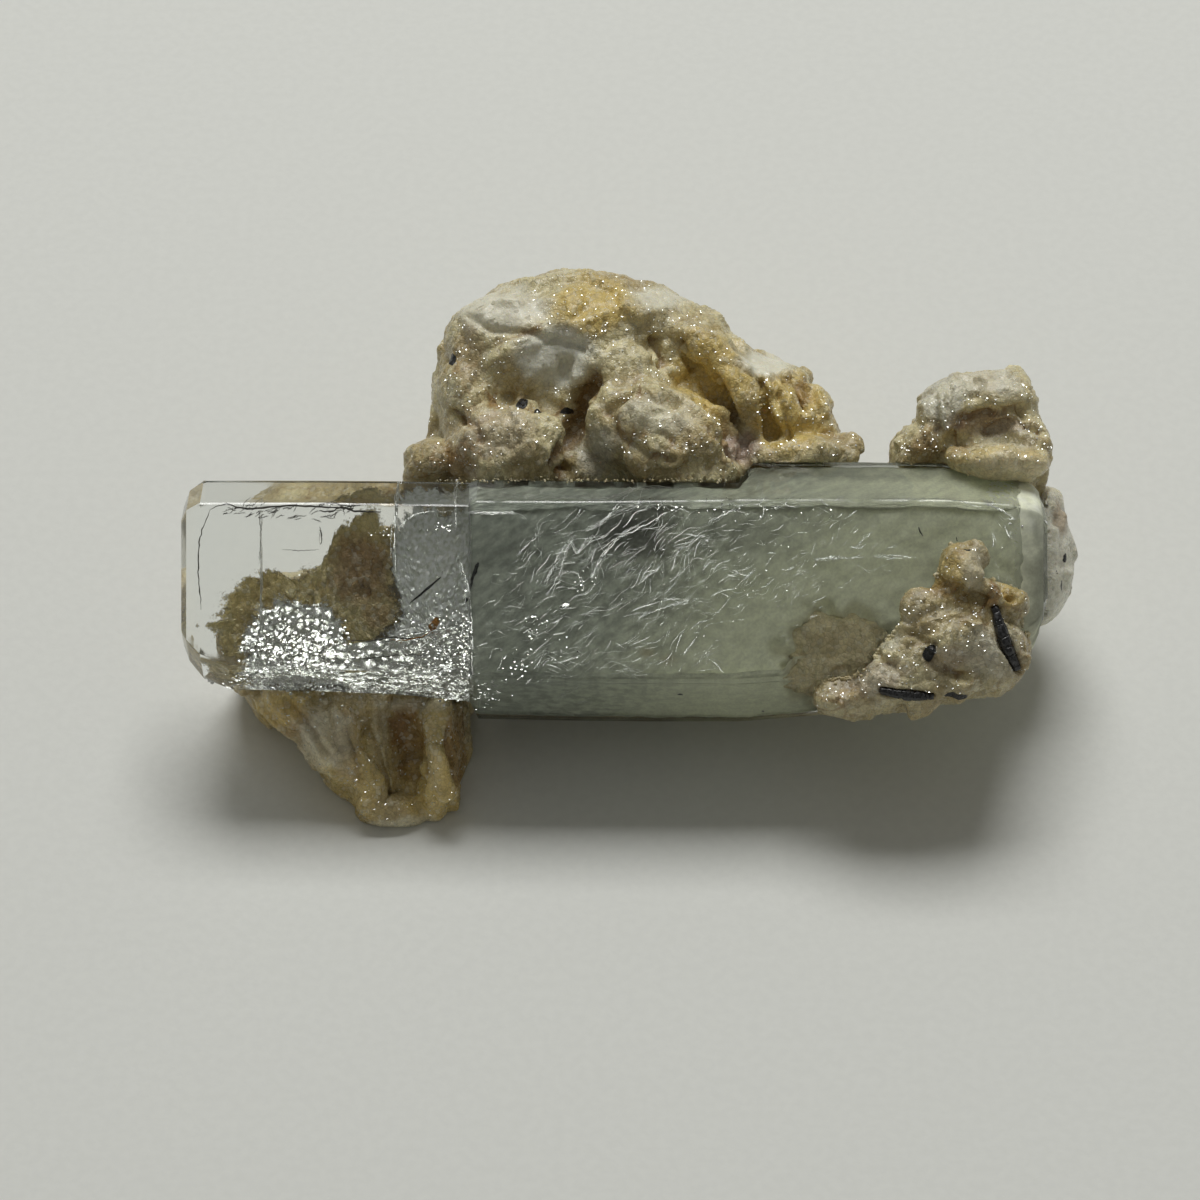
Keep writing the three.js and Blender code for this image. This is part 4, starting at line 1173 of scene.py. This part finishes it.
class MINERAL_OT_build_flaws(bpy.types.Operator):
    """Builds the veils, cracks, silver film, needles, stain and sunken albite inside the prism"""

    bl_idname = "mineral.build_flaws"
    bl_label = "Build the flaws"

    def execute(self, context):
        random = np.random.default_rng(7)
        white = veil_material("veil", paint("veil"), 0.8, 0.35)
        # Painted shade: dark lines stand for the light that the tip's small ledges and cracks turn away
        grey = veil_material("growth_step", (0.10, 0.09, 0.07), 0.0, 0.5)
        veils = [(0.03 * strength, 0.1 + 0.1 * depth, path) for strength, depth, path in VEILS]
        lines("veil_lines", feathered(veils, 7, random), 28, white, random, 0.02, 0.06)
        crackle = flow_paths(random, 60, (-15.4, 4.35), (3.6, 0.4), 0, 0.9, 5)
        steps = STEPS_IN_TIP + [(0.02, 0.12, path) for path in crackle]
        lines("growth_steps", steps, 28, grey, random, 0.018)
        needles = lines("inner_needles", NEEDLES_INSIDE, 10, schorl_material(), random, 0.008)
        needles.data.shade_flat()
        self.scatter_threads(random)
        self.scatter_plates(random)
        self.tip_patches()
        self.cross_cracks()
        self.stain()
        self.sunken()
        return {"FINISHED"}

    def scatter_threads(self, random):
        """The fine haze of short curved lines that fills the left half of the body and thins out to the
        right."""
        steps = 10
        bundles = [
            flow_paths(random, 190, (1.0, 1.8), (4.4, 3.0), 42, 2.0, steps),
            flow_paths(random, 110, (3.6, 0.9), (3.6, 2.8), 38, 1.6, steps),
            flow_paths(random, 140, (9.0, 2.2), (5.2, 2.6), 25, 1.0, steps),
            flow_paths(random, 130, (-3.4, -1.2), (2.8, 3.2), 30, 1.0, steps),
            flow_paths(random, 90, (0.6, -3.0), (5.6, 0.9), 22, 1.6, steps),
            flow_paths(random, 200, (2.0, 0.4), (9.0, 4.0), 35, 0.5, steps),
            flow_paths(random, 60, (-8.4, -2.6), (1.9, 2.0), 12, 1.2, steps),
            flow_paths(random, 50, (20.4, 3.4), (1.2, 2.8), -65, 1.0, steps),
            flow_paths(random, 70, (6.0, 4.9), (6.5, 0.5), 4, 1.2, steps),
        ]
        paths = np.concatenate(bundles)
        count = len(paths)
        depth = random.uniform(0.08, 0.25, count)[:, None]
        paths = lie_inside(paths, leaning_depth(paths, depth))
        taper = np.sin(np.pi * np.linspace(0.04, 0.96, steps)) ** 0.5
        thinnest, spare = 0.005, 0.024
        radii = (thinnest + spare * random.uniform(0, 1, count)[:, None] ** 6) * taper
        points, faces = threads(paths, radii, to_the_light(random, count, 0.05))
        faint = veil_material("faint_veil", paint("veil"), 0.7, 0.4)
        specimen_piece("veil_threads", to_row(points), [faces], faint, sharp=40)

    def scatter_plates(self, random):
        """Bright flecks: small plates that mostly lean back to the light. Each heap has a middle, its
        reach, how many flecks it holds and how wide they are."""
        heaps = [
            ((-6.75, -2.6), (0.35, 2.3), 150, 0.06),
            ((-8.3, -2.8), (2.2, 2.2), 260, 0.06),
            ((-15.4, -3.9), (2.6, 0.5), 420, 0.09),
            ((-10.0, -4.1), (4.0, 0.5), 300, 0.07),
            ((-15.0, -2.7), (2.4, 1.5), 420, 0.1),
            ((-6.0, -4.6), (1.1, 0.6), 60, 0.07),
            ((-1.85, -0.3), (0.3, 0.2), 6, 0.13),
            ((-3.2, -1.2), (0.7, 0.6), 24, 0.06),
            ((-4.1, -3.2), (0.9, 0.8), 26, 0.07),
            ((-2.2, -2.6), (1.2, 0.9), 20, 0.04),
            ((-0.6, 1.0), (0.8, 0.6), 26, 0.05),
            ((4.6, 4.6), (3.6, 0.25), 50, 0.05),
            ((9.0, 4.3), (4.0, 0.5), 50, 0.04),
            ((6.0, 1.5), (4.5, 2.4), 60, 0.03),
            ((20.8, 2.6), (0.9, 3.0), 40, 0.06),
            ((17.8, 2.0), (0.3, 0.2), 5, 0.06),
            ((-7.8, 3.6), (0.5, 0.3), 16, 0.07),
            ((-11.0, 3.3), (0.6, 0.15), 10, 0.05),
        ]
        middles = []
        widths = []
        for middle, reach, count, width in heaps:
            places = np.array(middle) + random.normal(0, 0.5, (count, 2)) * np.array(reach)
            middles.append(lie_inside(places, random.uniform(0.1, 0.8, count)))
            widths.append(width * random.uniform(0.4, 1.3, count))
        middles = np.concatenate(middles)
        _, bottom, front, back, _ = prism_sides(middles[:, 0])
        below = middles[:, 1] < bottom + side_band(front, back)
        slope = np.where(below, LIT_SLOPE_BELOW, LIT_SLOPE)
        facings = to_the_light(random, len(middles), 0.08, slope)
        points, faces = plates(middles, facings, np.concatenate(widths))
        fleck = silver_material("bright_fleck", 1.0, 0.9, 0.12, 0.05)
        specimen_piece("bright_flecks", to_row(points), [faces], fleck, sharp=10)

    def tip_patches(self):
        """What lies against the back of the clear tip: a brown crust, a grey haze and, over both, the
        silvery film of small crumpled steps that lean back to the light."""
        rings, columns = 60, 240
        crust = [(-19.6, -2.6), (-19.6, -0.6), (-18.3, 1.0), (-16.8, 1.65), (-15.0, 1.6), (-13.6, 2.7)]
        crust += [(-13.1, 3.9), (-11.6, 4.7), (-10.2, 4.2), (-9.8, 1.0), (-10.1, -1.4), (-12.0, -3.6)]
        crust += [(-15.0, -4.2), (-18.4, -3.9)]
        haze = [(-10.2, 4.5), (-8.4, 4.9), (-6.4, 4.8), (-6.15, 0.5), (-6.15, -4.7), (-9.0, -4.5)]
        haze += [(-12.3, -4.3), (-12.4, -2.2), (-11.4, -1.9), (-10.4, -1.0), (-10.2, 0.4), (-10.6, 2.2)]
        haze += [(-10.4, 3.6)]
        film = [(-18.4, -3.2), (-18.0, -1.2), (-16.9, 0.1), (-15.0, 0.4), (-13.5, 0.0), (-12.6, -0.9)]
        film += [(-12.2, -2.0), (-10.8, -2.3), (-9.2, -1.6), (-7.4, -1.9), (-6.4, -1.2), (-6.4, -4.6)]
        film += [(-10.0, -4.4), (-14.0, -4.1), (-17.4, -3.9)]
        lit = LIT_SLOPE
        albite = frayed(albite_material("albite_crust", 0.45))
        hazy = frayed(silver_material("grey_haze", 0.95, 0.4, 0.4, 0.2))
        silver = frayed(silver_material("silver_film", 1.0, 0.9, 0.22, 0.05))
        for name, middle, outline, surface, material, slot, soft in (
            ("brown_crust", (-14.0, -0.6), crust, (-1.1, 0.8, 0.0, 0.3, 0), albite, "albite_ochre", 1.1),
            ("grey_haze", (-8.3, -2.2), haze, (-0.75, 0.35, lit, 0.12, 0.15), hazy, "aquamarine", 1.0),
            ("silver_film", (-14.6, -2.6), film, (-0.55, 0.6, lit, 0.03, 0.12), silver, "aquamarine", 1.2),
        ):
            points, faces, inset = lens(middle, outline, rings, columns, crumpled(*surface))
            edge = smooth(inset + 0.3 * waves(points, 0.5, 54), 0.0, soft)
            dim = most(points, [(1.0, -11.8, 1.3, 2.4, 2.4), (0.8, -11.2, -0.7, 1.3, 1.0)], 0.3)
            masks = even_tints(len(points))
            masks["yellow"] = 0.45 * (1 - dim)
            masks["hollow"] = dim
            masks["number"] = 0.5 + 0.5 * waves(points, 0.3, 58)
            masks["cover"] = np.where(points[:, 0] > -6.6, 1.0, edge)
            specimen_piece(name, to_row(points), faces, material, sharp=30, masks=masks)

    def cross_cracks(self):
        """Thin cracks across the prism, seen nearly edge on from the front: x, the lowest and highest y
        and how deep each goes."""
        thickness = np.array([0.03, 0, 0])
        shapes = []
        faces = []
        covers = []
        total = 0
        for x, low, high, deepest in (
            (-16.8, -2.0, 4.4, 0.2),
            (-13.85, 2.6, 3.6, 1.6),
            (-10.1, 1.2, 5.6, -0.8),
            (-7.15, 3.2, 5.6, 0.6),
            (-6.35, -4.3, 5.2, -1.2),
        ):
            y, z = np.meshgrid(np.linspace(low, high, 50), np.linspace(deepest, 2.3, 20))
            places = np.stack([np.full(y.shape, x), y, z], axis=-1)
            flat = places.reshape(-1, 3)
            places[..., 0] += (0.06 * waves(flat, 0.7, 55) + 0.03 * waves(flat, 0.25, 56)).reshape(y.shape)
            points, own = closed_sheet(places, thickness)
            inset = np.minimum(points[:, 1] - low, high - points[:, 1])
            covers.append(smooth(inset + 0.4 * waves(points, 0.8, 57), 0.0, 0.8))
            shapes.append(points)
            faces.append(own + total)
            total += len(points)
        points = to_row(np.concatenate(shapes))
        faces = [np.concatenate(faces)]
        masks = {"cover": np.concatenate(covers)}
        specimen_piece("cross_cracks", points, faces, crack_material(), masks=masks)

    def stain(self):
        """The orange stain: a small ragged plate with a thin tail to its left."""
        random = np.random.default_rng(3)
        table = [
            (0.26, 0.3, [(-8.35, -1.45), (-8.15, -1.2), (-8.05, -0.9)]),
            (0.16, 0.3, [(-8.15, -1.5), (-8.2, -1.2), (-8.1, -0.85)]),
            (0.04, 0.3, [(-8.2, -1.4), (-8.6, -1.75), (-9.2, -1.9), (-10.4, -2.0)]),
        ]
        orange = veil_material("orange_stain", paint("stain"), 0.0, 0.5)
        lines("orange_stain", table, 14, orange, random, 0.03)

    def sunken(self):
        """The albite sunk in the milky body: a lumpy ball flattened under the front face."""
        rows, columns = 60, 120
        middle = np.array([11.8, -2.8, 1.2])
        reach = np.array([2.6, 2.3, 1.1])
        heights = np.linspace(-np.pi / 2, np.pi / 2, rows + 2)[1:-1]
        up, turn = np.meshgrid(heights, np.arange(columns), indexing="ij")
        turn = turn * 2 * np.pi / columns
        ball = np.stack([np.cos(up) * np.cos(turn), np.cos(up) * np.sin(turn), np.sin(up)], axis=-1)
        ball = np.concatenate([ball.reshape(-1, 3), [(0, 0, -1), (0, 0, 1)]])
        lumps, _ = grains(ball, 0.5, 62)
        swell = 0.95 + 0.28 * waves(ball, 0.55, 61) + 0.1 * waves(ball, 0.2, 65)
        swell = swell + 0.09 * smooth(lumps, 0, 0.4)
        points = middle + ball * swell[:, None] * reach
        points[:, 2] = np.minimum(points[:, 2], lie_inside(points[:, :2], 0.14)[:, 2])
        masks = even_tints(len(points), yellow=0.45, pale=0.25)
        masks["hollow"] = smooth(waves(points, 0.9, 66), 0.2, 0.9)
        masks["number"] = 0.5 + 0.5 * waves(points, 0.4, 64)
        faces = capped_faces(rows, columns)
        albite = albite_material("albite_sunken", 0.6)
        specimen_piece("sunken_albite", to_row(points), faces, albite, masks=masks)


# Albite


def remeshed(name, step):
    """A copy of a solid with an even skin: its points are merged, its skin is redrawn in squares and
    smoothed. Its points in millimetres, their facings and its faces."""
    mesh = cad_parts[name].data.copy()
    points = np.zeros(len(mesh.vertices) * 3)
    mesh.vertices.foreach_get("co", points)
    mesh.vertices.foreach_set("co", points / MM)
    shape = bmesh.new()
    shape.from_mesh(mesh)
    bmesh.ops.remove_doubles(shape, verts=shape.verts, dist=1e-4)
    shape.to_mesh(mesh)
    shape.free()
    helper = bpy.data.objects.new("remesh_helper", mesh)
    bpy.context.collection.objects.link(helper)
    remesh = helper.modifiers.new("even", "REMESH")
    remesh.mode = "VOXEL"
    remesh.voxel_size = step
    smoothing = helper.modifiers.new("smooth", "SMOOTH")
    smoothing.factor = 0.5
    smoothing.iterations = 8
    ready = helper.evaluated_get(bpy.context.evaluated_depsgraph_get()).to_mesh()
    points = np.zeros(len(ready.vertices) * 3)
    ready.vertices.foreach_get("co", points)
    normals = np.zeros(len(ready.vertices) * 3)
    ready.vertices.foreach_get("normal", normals)
    corners = np.zeros(len(ready.loops), np.int32)
    ready.loops.foreach_get("vertex_index", corners)
    bpy.data.objects.remove(helper)
    bpy.data.meshes.remove(mesh)
    return points.reshape(-1, 3), normals.reshape(-1, 3), corners.reshape(-1, 4)


def prism_away(places):
    """How far each place of the leaning frame lies outside the prism's sides, and the facing of the
    nearest side."""
    top, bottom, front, back, chip = prism_sides(places[:, 0])
    middle = (front + back) / 2
    c, s = math.cos(math.pi / 6), math.sin(math.pi / 6)
    cut = (EDGE_BEVEL + chip * CORNER_SPREAD) / 2
    ends = [np.full(len(places), -PRISM[0, 0]), np.full(len(places), PRISM[-1, 0])]
    facings = [(0, 0, 1), (0, 0, -1), (0, c, s), (0, c, -s), (0, -c, s), (0, -c, -s), (0, 1, 0)]
    facings = np.array(facings + [(-1, 0, 0), (1, 0, 0)])
    reaches = [front, -back, c * top + s * middle, c * top - s * middle]
    reaches += [-c * bottom + s * middle, -c * bottom - s * middle, top - cut]
    away = places @ facings.T - np.stack(reaches + ends, axis=1)
    return away.max(axis=1), facings[np.argmax(away, axis=1)]


def needle_away(points):
    """Distance from row points, in millimetres, to the nearer of the two schorl crystals' middle lines."""
    nearest = np.full(len(points), 1e3)
    for name in ("schorl_needle", "schorl_sliver"):
        corners = np.array([vertex.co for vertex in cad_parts[name].data.vertices]) / MM
        middle = corners.mean(0)
        _, _, axes = np.linalg.svd(corners - middle, full_matrices=False)
        reach = np.abs((corners - middle) @ axes[0]).max()
        along = np.clip((points - middle) @ axes[0], -reach, reach)
        nearest = np.minimum(nearest, np.linalg.norm(points - middle - along[:, None] * axes[0], axis=1))
    return nearest


def clipped(points, name):
    """Row points, in millimetres, kept inside the box of a node."""
    low, high = (np.array(corner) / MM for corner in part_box(name))
    return np.clip(points, low, high)


def build_rock(name, material, step, block, grain, calm_all):
    """Albite skin over a solid: broken faces, rounded lumps and sugary grains stand out of it, the grooves
    drawn for the rock are cut in from the front, and the gaps to its neighbours are closed. Its points
    in millimetres, and how far each lies on the joint's rim and on grainy ground."""
    marks = ROCKS[name]
    points, normals, faces = remeshed(name, step)
    places = from_row(points * MM)
    masks = {tint: most(places, marks["spots"].get(tint, [])) for tint in TINTS}
    smooth_face = np.maximum(masks["pale"], np.maximum(0.7 * masks["grey"], calm_all))
    facing = normals @ (lean_matrix() @ np.array([0, 0, 1.0]))
    masks["dark"] = masks["dark"] * smooth(facing, 0.0, 0.3)
    cut = np.zeros(len(points))
    for wide, depth, path in marks["grooves"]:
        away = stroke_away(places + 0.12 * waves(places, 0.7, 22)[:, None], path)
        cut += depth * (1 - smooth(away, 0.15 * wide, 1.3 * wide))
    cut *= smooth(facing, 0.05, 0.45)
    lumps, _ = grains(points, grain * 2.6, 21)
    sugar_ridge, number = grains(points, grain, 25)
    rolling = waves(points, block * 1.3, 28)
    rise = 0.13 * block * blocks(points, block, 23) * (1 - 0.6 * smooth_face)
    rise += 0.09 * (smooth(lumps, 0, 0.45) - 0.6) * (1 - smooth_face) * smooth(rolling, -0.5, 0.5)
    rise += 0.05 * (smooth(sugar_ridge, 0, 0.4) - 0.6) * (1 - 0.9 * smooth_face)
    rise -= cut
    away, facings = prism_away(places)
    touching = 1 - smooth(away, 0.35, 0.6)
    rise *= 1 - touching
    beside = 1 - smooth(needle_away(points), 0.35, 0.6)
    rise = rise * (1 - beside) + 0.1 * beside
    rise *= smooth(points[:, 2], 0.02, 0.5)
    closing = facings @ lean_matrix().T * (touching * np.maximum(away - 0.04, 0))[:, None]
    moved = clipped(points + normals * rise[:, None] - closing, name)
    hollow = (1 - smooth(lumps, 0, 0.25)) * (0.6 - 0.4 * rolling) + np.clip(cut * 1.2, 0, 1)
    masks["hollow"] = hollow * (1 - smooth_face)
    masks["number"] = number
    specimen_piece(name + "_skin", moved * MM, [faces], material, [name], masks=masks)
    rim = touching * smooth(facing, -0.3, 0.2)
    grainy = (1 - smooth_face) * smooth(facing, 0.1, 0.6) * (1 - touching)
    return moved, rim, grainy


def some(points, mask, count, random):
    """Points picked at random from those that a mask covers."""
    order = random.permutation(len(points))
    return points[order[mask[order] > random.uniform(0.3, 1.0, len(points))][:count]]


class MINERAL_OT_build_albite(bpy.types.Operator):
    """Builds the granular skins of the albite blocks, and the crumbs along their joints with the prism"""

    bl_idname = "mineral.build_albite"
    bl_label = "Build the albite"

    def execute(self, context):
        sizes = context.scene.specimen_sizes
        step, block, grain = (value / MM for value in (sizes.skin_step, sizes.block, sizes.grain))
        random = np.random.default_rng(11)
        cream = albite_material("albite_cream", 0.52)
        ochre = albite_material("albite_ochre", 0.36)
        grey = albite_material("albite_grey", 0.7)
        # The front cluster's albite: the cream one dimmed as painted shade, for the cluster lies in shade
        shaded = albite_material("albite_shaded", 0.52, 0.84)
        joint = []
        shining = []
        for name, slot, material, coarser, calm, joint_crumbs, sparks in (
            ("albite_back_block", "albite_cream", cream, 1.32, 0.0, 480, 900),
            ("albite_foot", "albite_ochre", ochre, 1.15, 0.1, 60, 520),
            ("albite_right_block", "albite_cream", cream, 1.15, 0.0, 120, 220),
            ("albite_end_knob", "albite_grey", grey, 1.4, 0.85, 0, 20),
            ("albite_front_cluster", "albite_cream", shaded, 1.0, 0.0, 200, 280),
        ):
            points, rim, grainy = build_rock(name, material, step * coarser, block, grain, calm)
            joint.append(some(points, rim, joint_crumbs, random))
            shining.append(some(points, grainy, sparks, random))
        self.joint_crumbs(np.concatenate(joint), cream, random)
        self.sparks(np.concatenate(shining), random)
        return {"FINISHED"}

    def joint_crumbs(self, middles, material, random):
        """Crumbs at places on the blocks' rims, and a seam of smaller ones along the large block's joint
        with the prism."""
        seam_count = 160
        seam = [random.uniform(-8.2, 6.8, seam_count), 5.95 + random.normal(0, 0.06, seam_count)]
        middles = np.concatenate([middles, to_row(lie_inside(np.stack(seam, axis=1), -0.03)) / MM])
        widths = random.uniform(0.03, 0.15, len(middles))
        widths[-seam_count:] *= 0.5
        points, faces = crumbs(middles, widths, random)
        masks = even_tints(len(points), yellow=0.2, grey=0.1)
        masks["hollow"] = np.full(len(points), 0.4)
        masks["number"] = np.repeat(random.uniform(0, 1, len(middles)), 12)
        points = np.clip(points * MM, *np.array(CAD_BOX))
        specimen_piece("albite_crumbs", points, [faces], material, sharp=20, masks=masks)

    def sparks(self, middles, random):
        """Small cleavage faces that flash on the albite's grainy ground, turned mostly upward."""
        facings = np.array([0.0, -0.1, 1.0]) + random.normal(0, 0.2, middles.shape)
        points, faces = plates(middles, facings, random.uniform(0.025, 0.06, len(middles)))
        points = np.clip(points * MM, *np.array(CAD_BOX))
        bright = silver_material("cleavage_spark", 1.0, 0.6, 0.24, 0.05)
        specimen_piece("albite_sparks", points, [faces], bright, sharp=10)


class MINERAL_OT_build_schorl(bpy.types.Operator):
    """Builds the ribbed skins of the black schorl crystals"""

    bl_idname = "mineral.build_schorl"
    bl_label = "Build the schorl"

    def execute(self, context):
        black = schorl_material()
        for name in ("schorl_needle", "schorl_sliver"):
            points, normals, faces = remeshed(name, 0.042)
            middle = points.mean(0)
            _, _, axes = np.linalg.svd(points - middle, full_matrices=False)
            turned = (points - middle) @ axes.T
            ribs = waves(turned, 0.09, 71, (0.08, 1, 1))
            breaks = 1 - smooth(np.abs(waves(turned, 0.32, 72, (1, 0.3, 0.3))), 0.0, 0.12)
            rise = 0.03 * ribs - 0.07 * breaks
            moved = clipped(points + normals * rise[:, None], name)
            specimen_piece(name + "_skin", moved * MM, [faces], black, [name])
        return {"FINISHED"}


# Stage


def aim(thing, place, target):
    """Puts a light or camera at a place, looking at a target."""
    thing.location = place
    thing.rotation_euler = (Vector(target) - Vector(place)).to_track_quat("-Z", "Y").to_euler()


def soft_light(name, place, target, size, power, tint):
    """A rectangular area light."""
    light = bpy.data.lights.new(name, "AREA")
    light.shape = "RECTANGLE"
    light.size, light.size_y = size
    light.energy = power
    light.color = tint
    thing = bpy.data.objects.new(name, light)
    bpy.context.collection.objects.link(thing)
    aim(thing, place, target)


class MINERAL_OT_build_stage(bpy.types.Operator):
    """Sets out the paper, the soft light from behind and the camera"""

    bl_idname = "mineral.build_stage"
    bl_label = "Build the stage"

    def execute(self, context):
        scene = context.scene
        sizes = scene.specimen_sizes
        half = sizes.paper_side / 2
        corners = np.array([(-half, -half, 0), (half, -half, 0), (half, half, 0), (-half, half, 0)])
        paper = make_piece("paper", corners, [np.array([[0, 1, 2, 3]])], paper_material())
        world = bpy.data.worlds.new("room")
        world.use_nodes = True
        world.node_tree.nodes["Background"].inputs["Color"].default_value = (1.0, 0.99, 0.90, 1)
        world.node_tree.nodes["Background"].inputs["Strength"].default_value = 0.16
        scene.world = world
        soft_light("window", (0.0, 0.30, 0.54), (0.0, 0, 0), (0.36, 0.24), 2.55, (1.0, 1.0, 0.98))
        camera = bpy.data.objects.new("camera", bpy.data.cameras.new("camera"))
        scene.collection.objects.link(camera)
        camera.data.lens = 120
        camera.data.sensor_width = 36
        camera.data.clip_start = 0.01
        middle = to_row(np.zeros(3))
        facing = lean_matrix() @ np.array([0.0, 0, 1])
        aim(camera, middle + facing * sizes.camera_distance, middle)
        scene.camera = camera
        scene.view_settings.view_transform = "Standard"
        return {"FINISHED"}


class MINERAL_PT_specimen(bpy.types.Panel):
    """Lists the steps that build the specimen"""

    bl_idname = "MINERAL_PT_specimen"
    bl_label = "Aquamarine on albite"
    bl_space_type = "VIEW_3D"
    bl_region_type = "UI"
    bl_category = "Specimen"

    def draw(self, context):
        for step in STEPS:
            self.layout.operator(step.bl_idname)
        for group in (context.scene.specimen_sizes, context.scene.specimen_colours):
            for name in group.__annotations__:
                self.layout.prop(group, name)


STEPS = (
    MINERAL_OT_build_prism,
    MINERAL_OT_build_flaws,
    MINERAL_OT_build_albite,
    MINERAL_OT_build_schorl,
    MINERAL_OT_build_stage,
)
CLASSES = (SpecimenSizes, SpecimenColours, *STEPS, MINERAL_PT_specimen)


def register():
    for entry in CLASSES:
        bpy.utils.register_class(entry)
    bpy.types.Scene.specimen_sizes = bpy.props.PointerProperty(type=SpecimenSizes)
    bpy.types.Scene.specimen_colours = bpy.props.PointerProperty(type=SpecimenColours)


def unregister():
    del bpy.types.Scene.specimen_colours
    del bpy.types.Scene.specimen_sizes
    for entry in reversed(CLASSES):
        bpy.utils.unregister_class(entry)


def main():
    """Builds everything in order."""
    register()
    bpy.ops.mineral.build_prism()
    bpy.ops.mineral.build_flaws()
    bpy.ops.mineral.build_albite()
    bpy.ops.mineral.build_schorl()
    bpy.ops.mineral.build_stage()


if __name__ == "__main__":
    main()
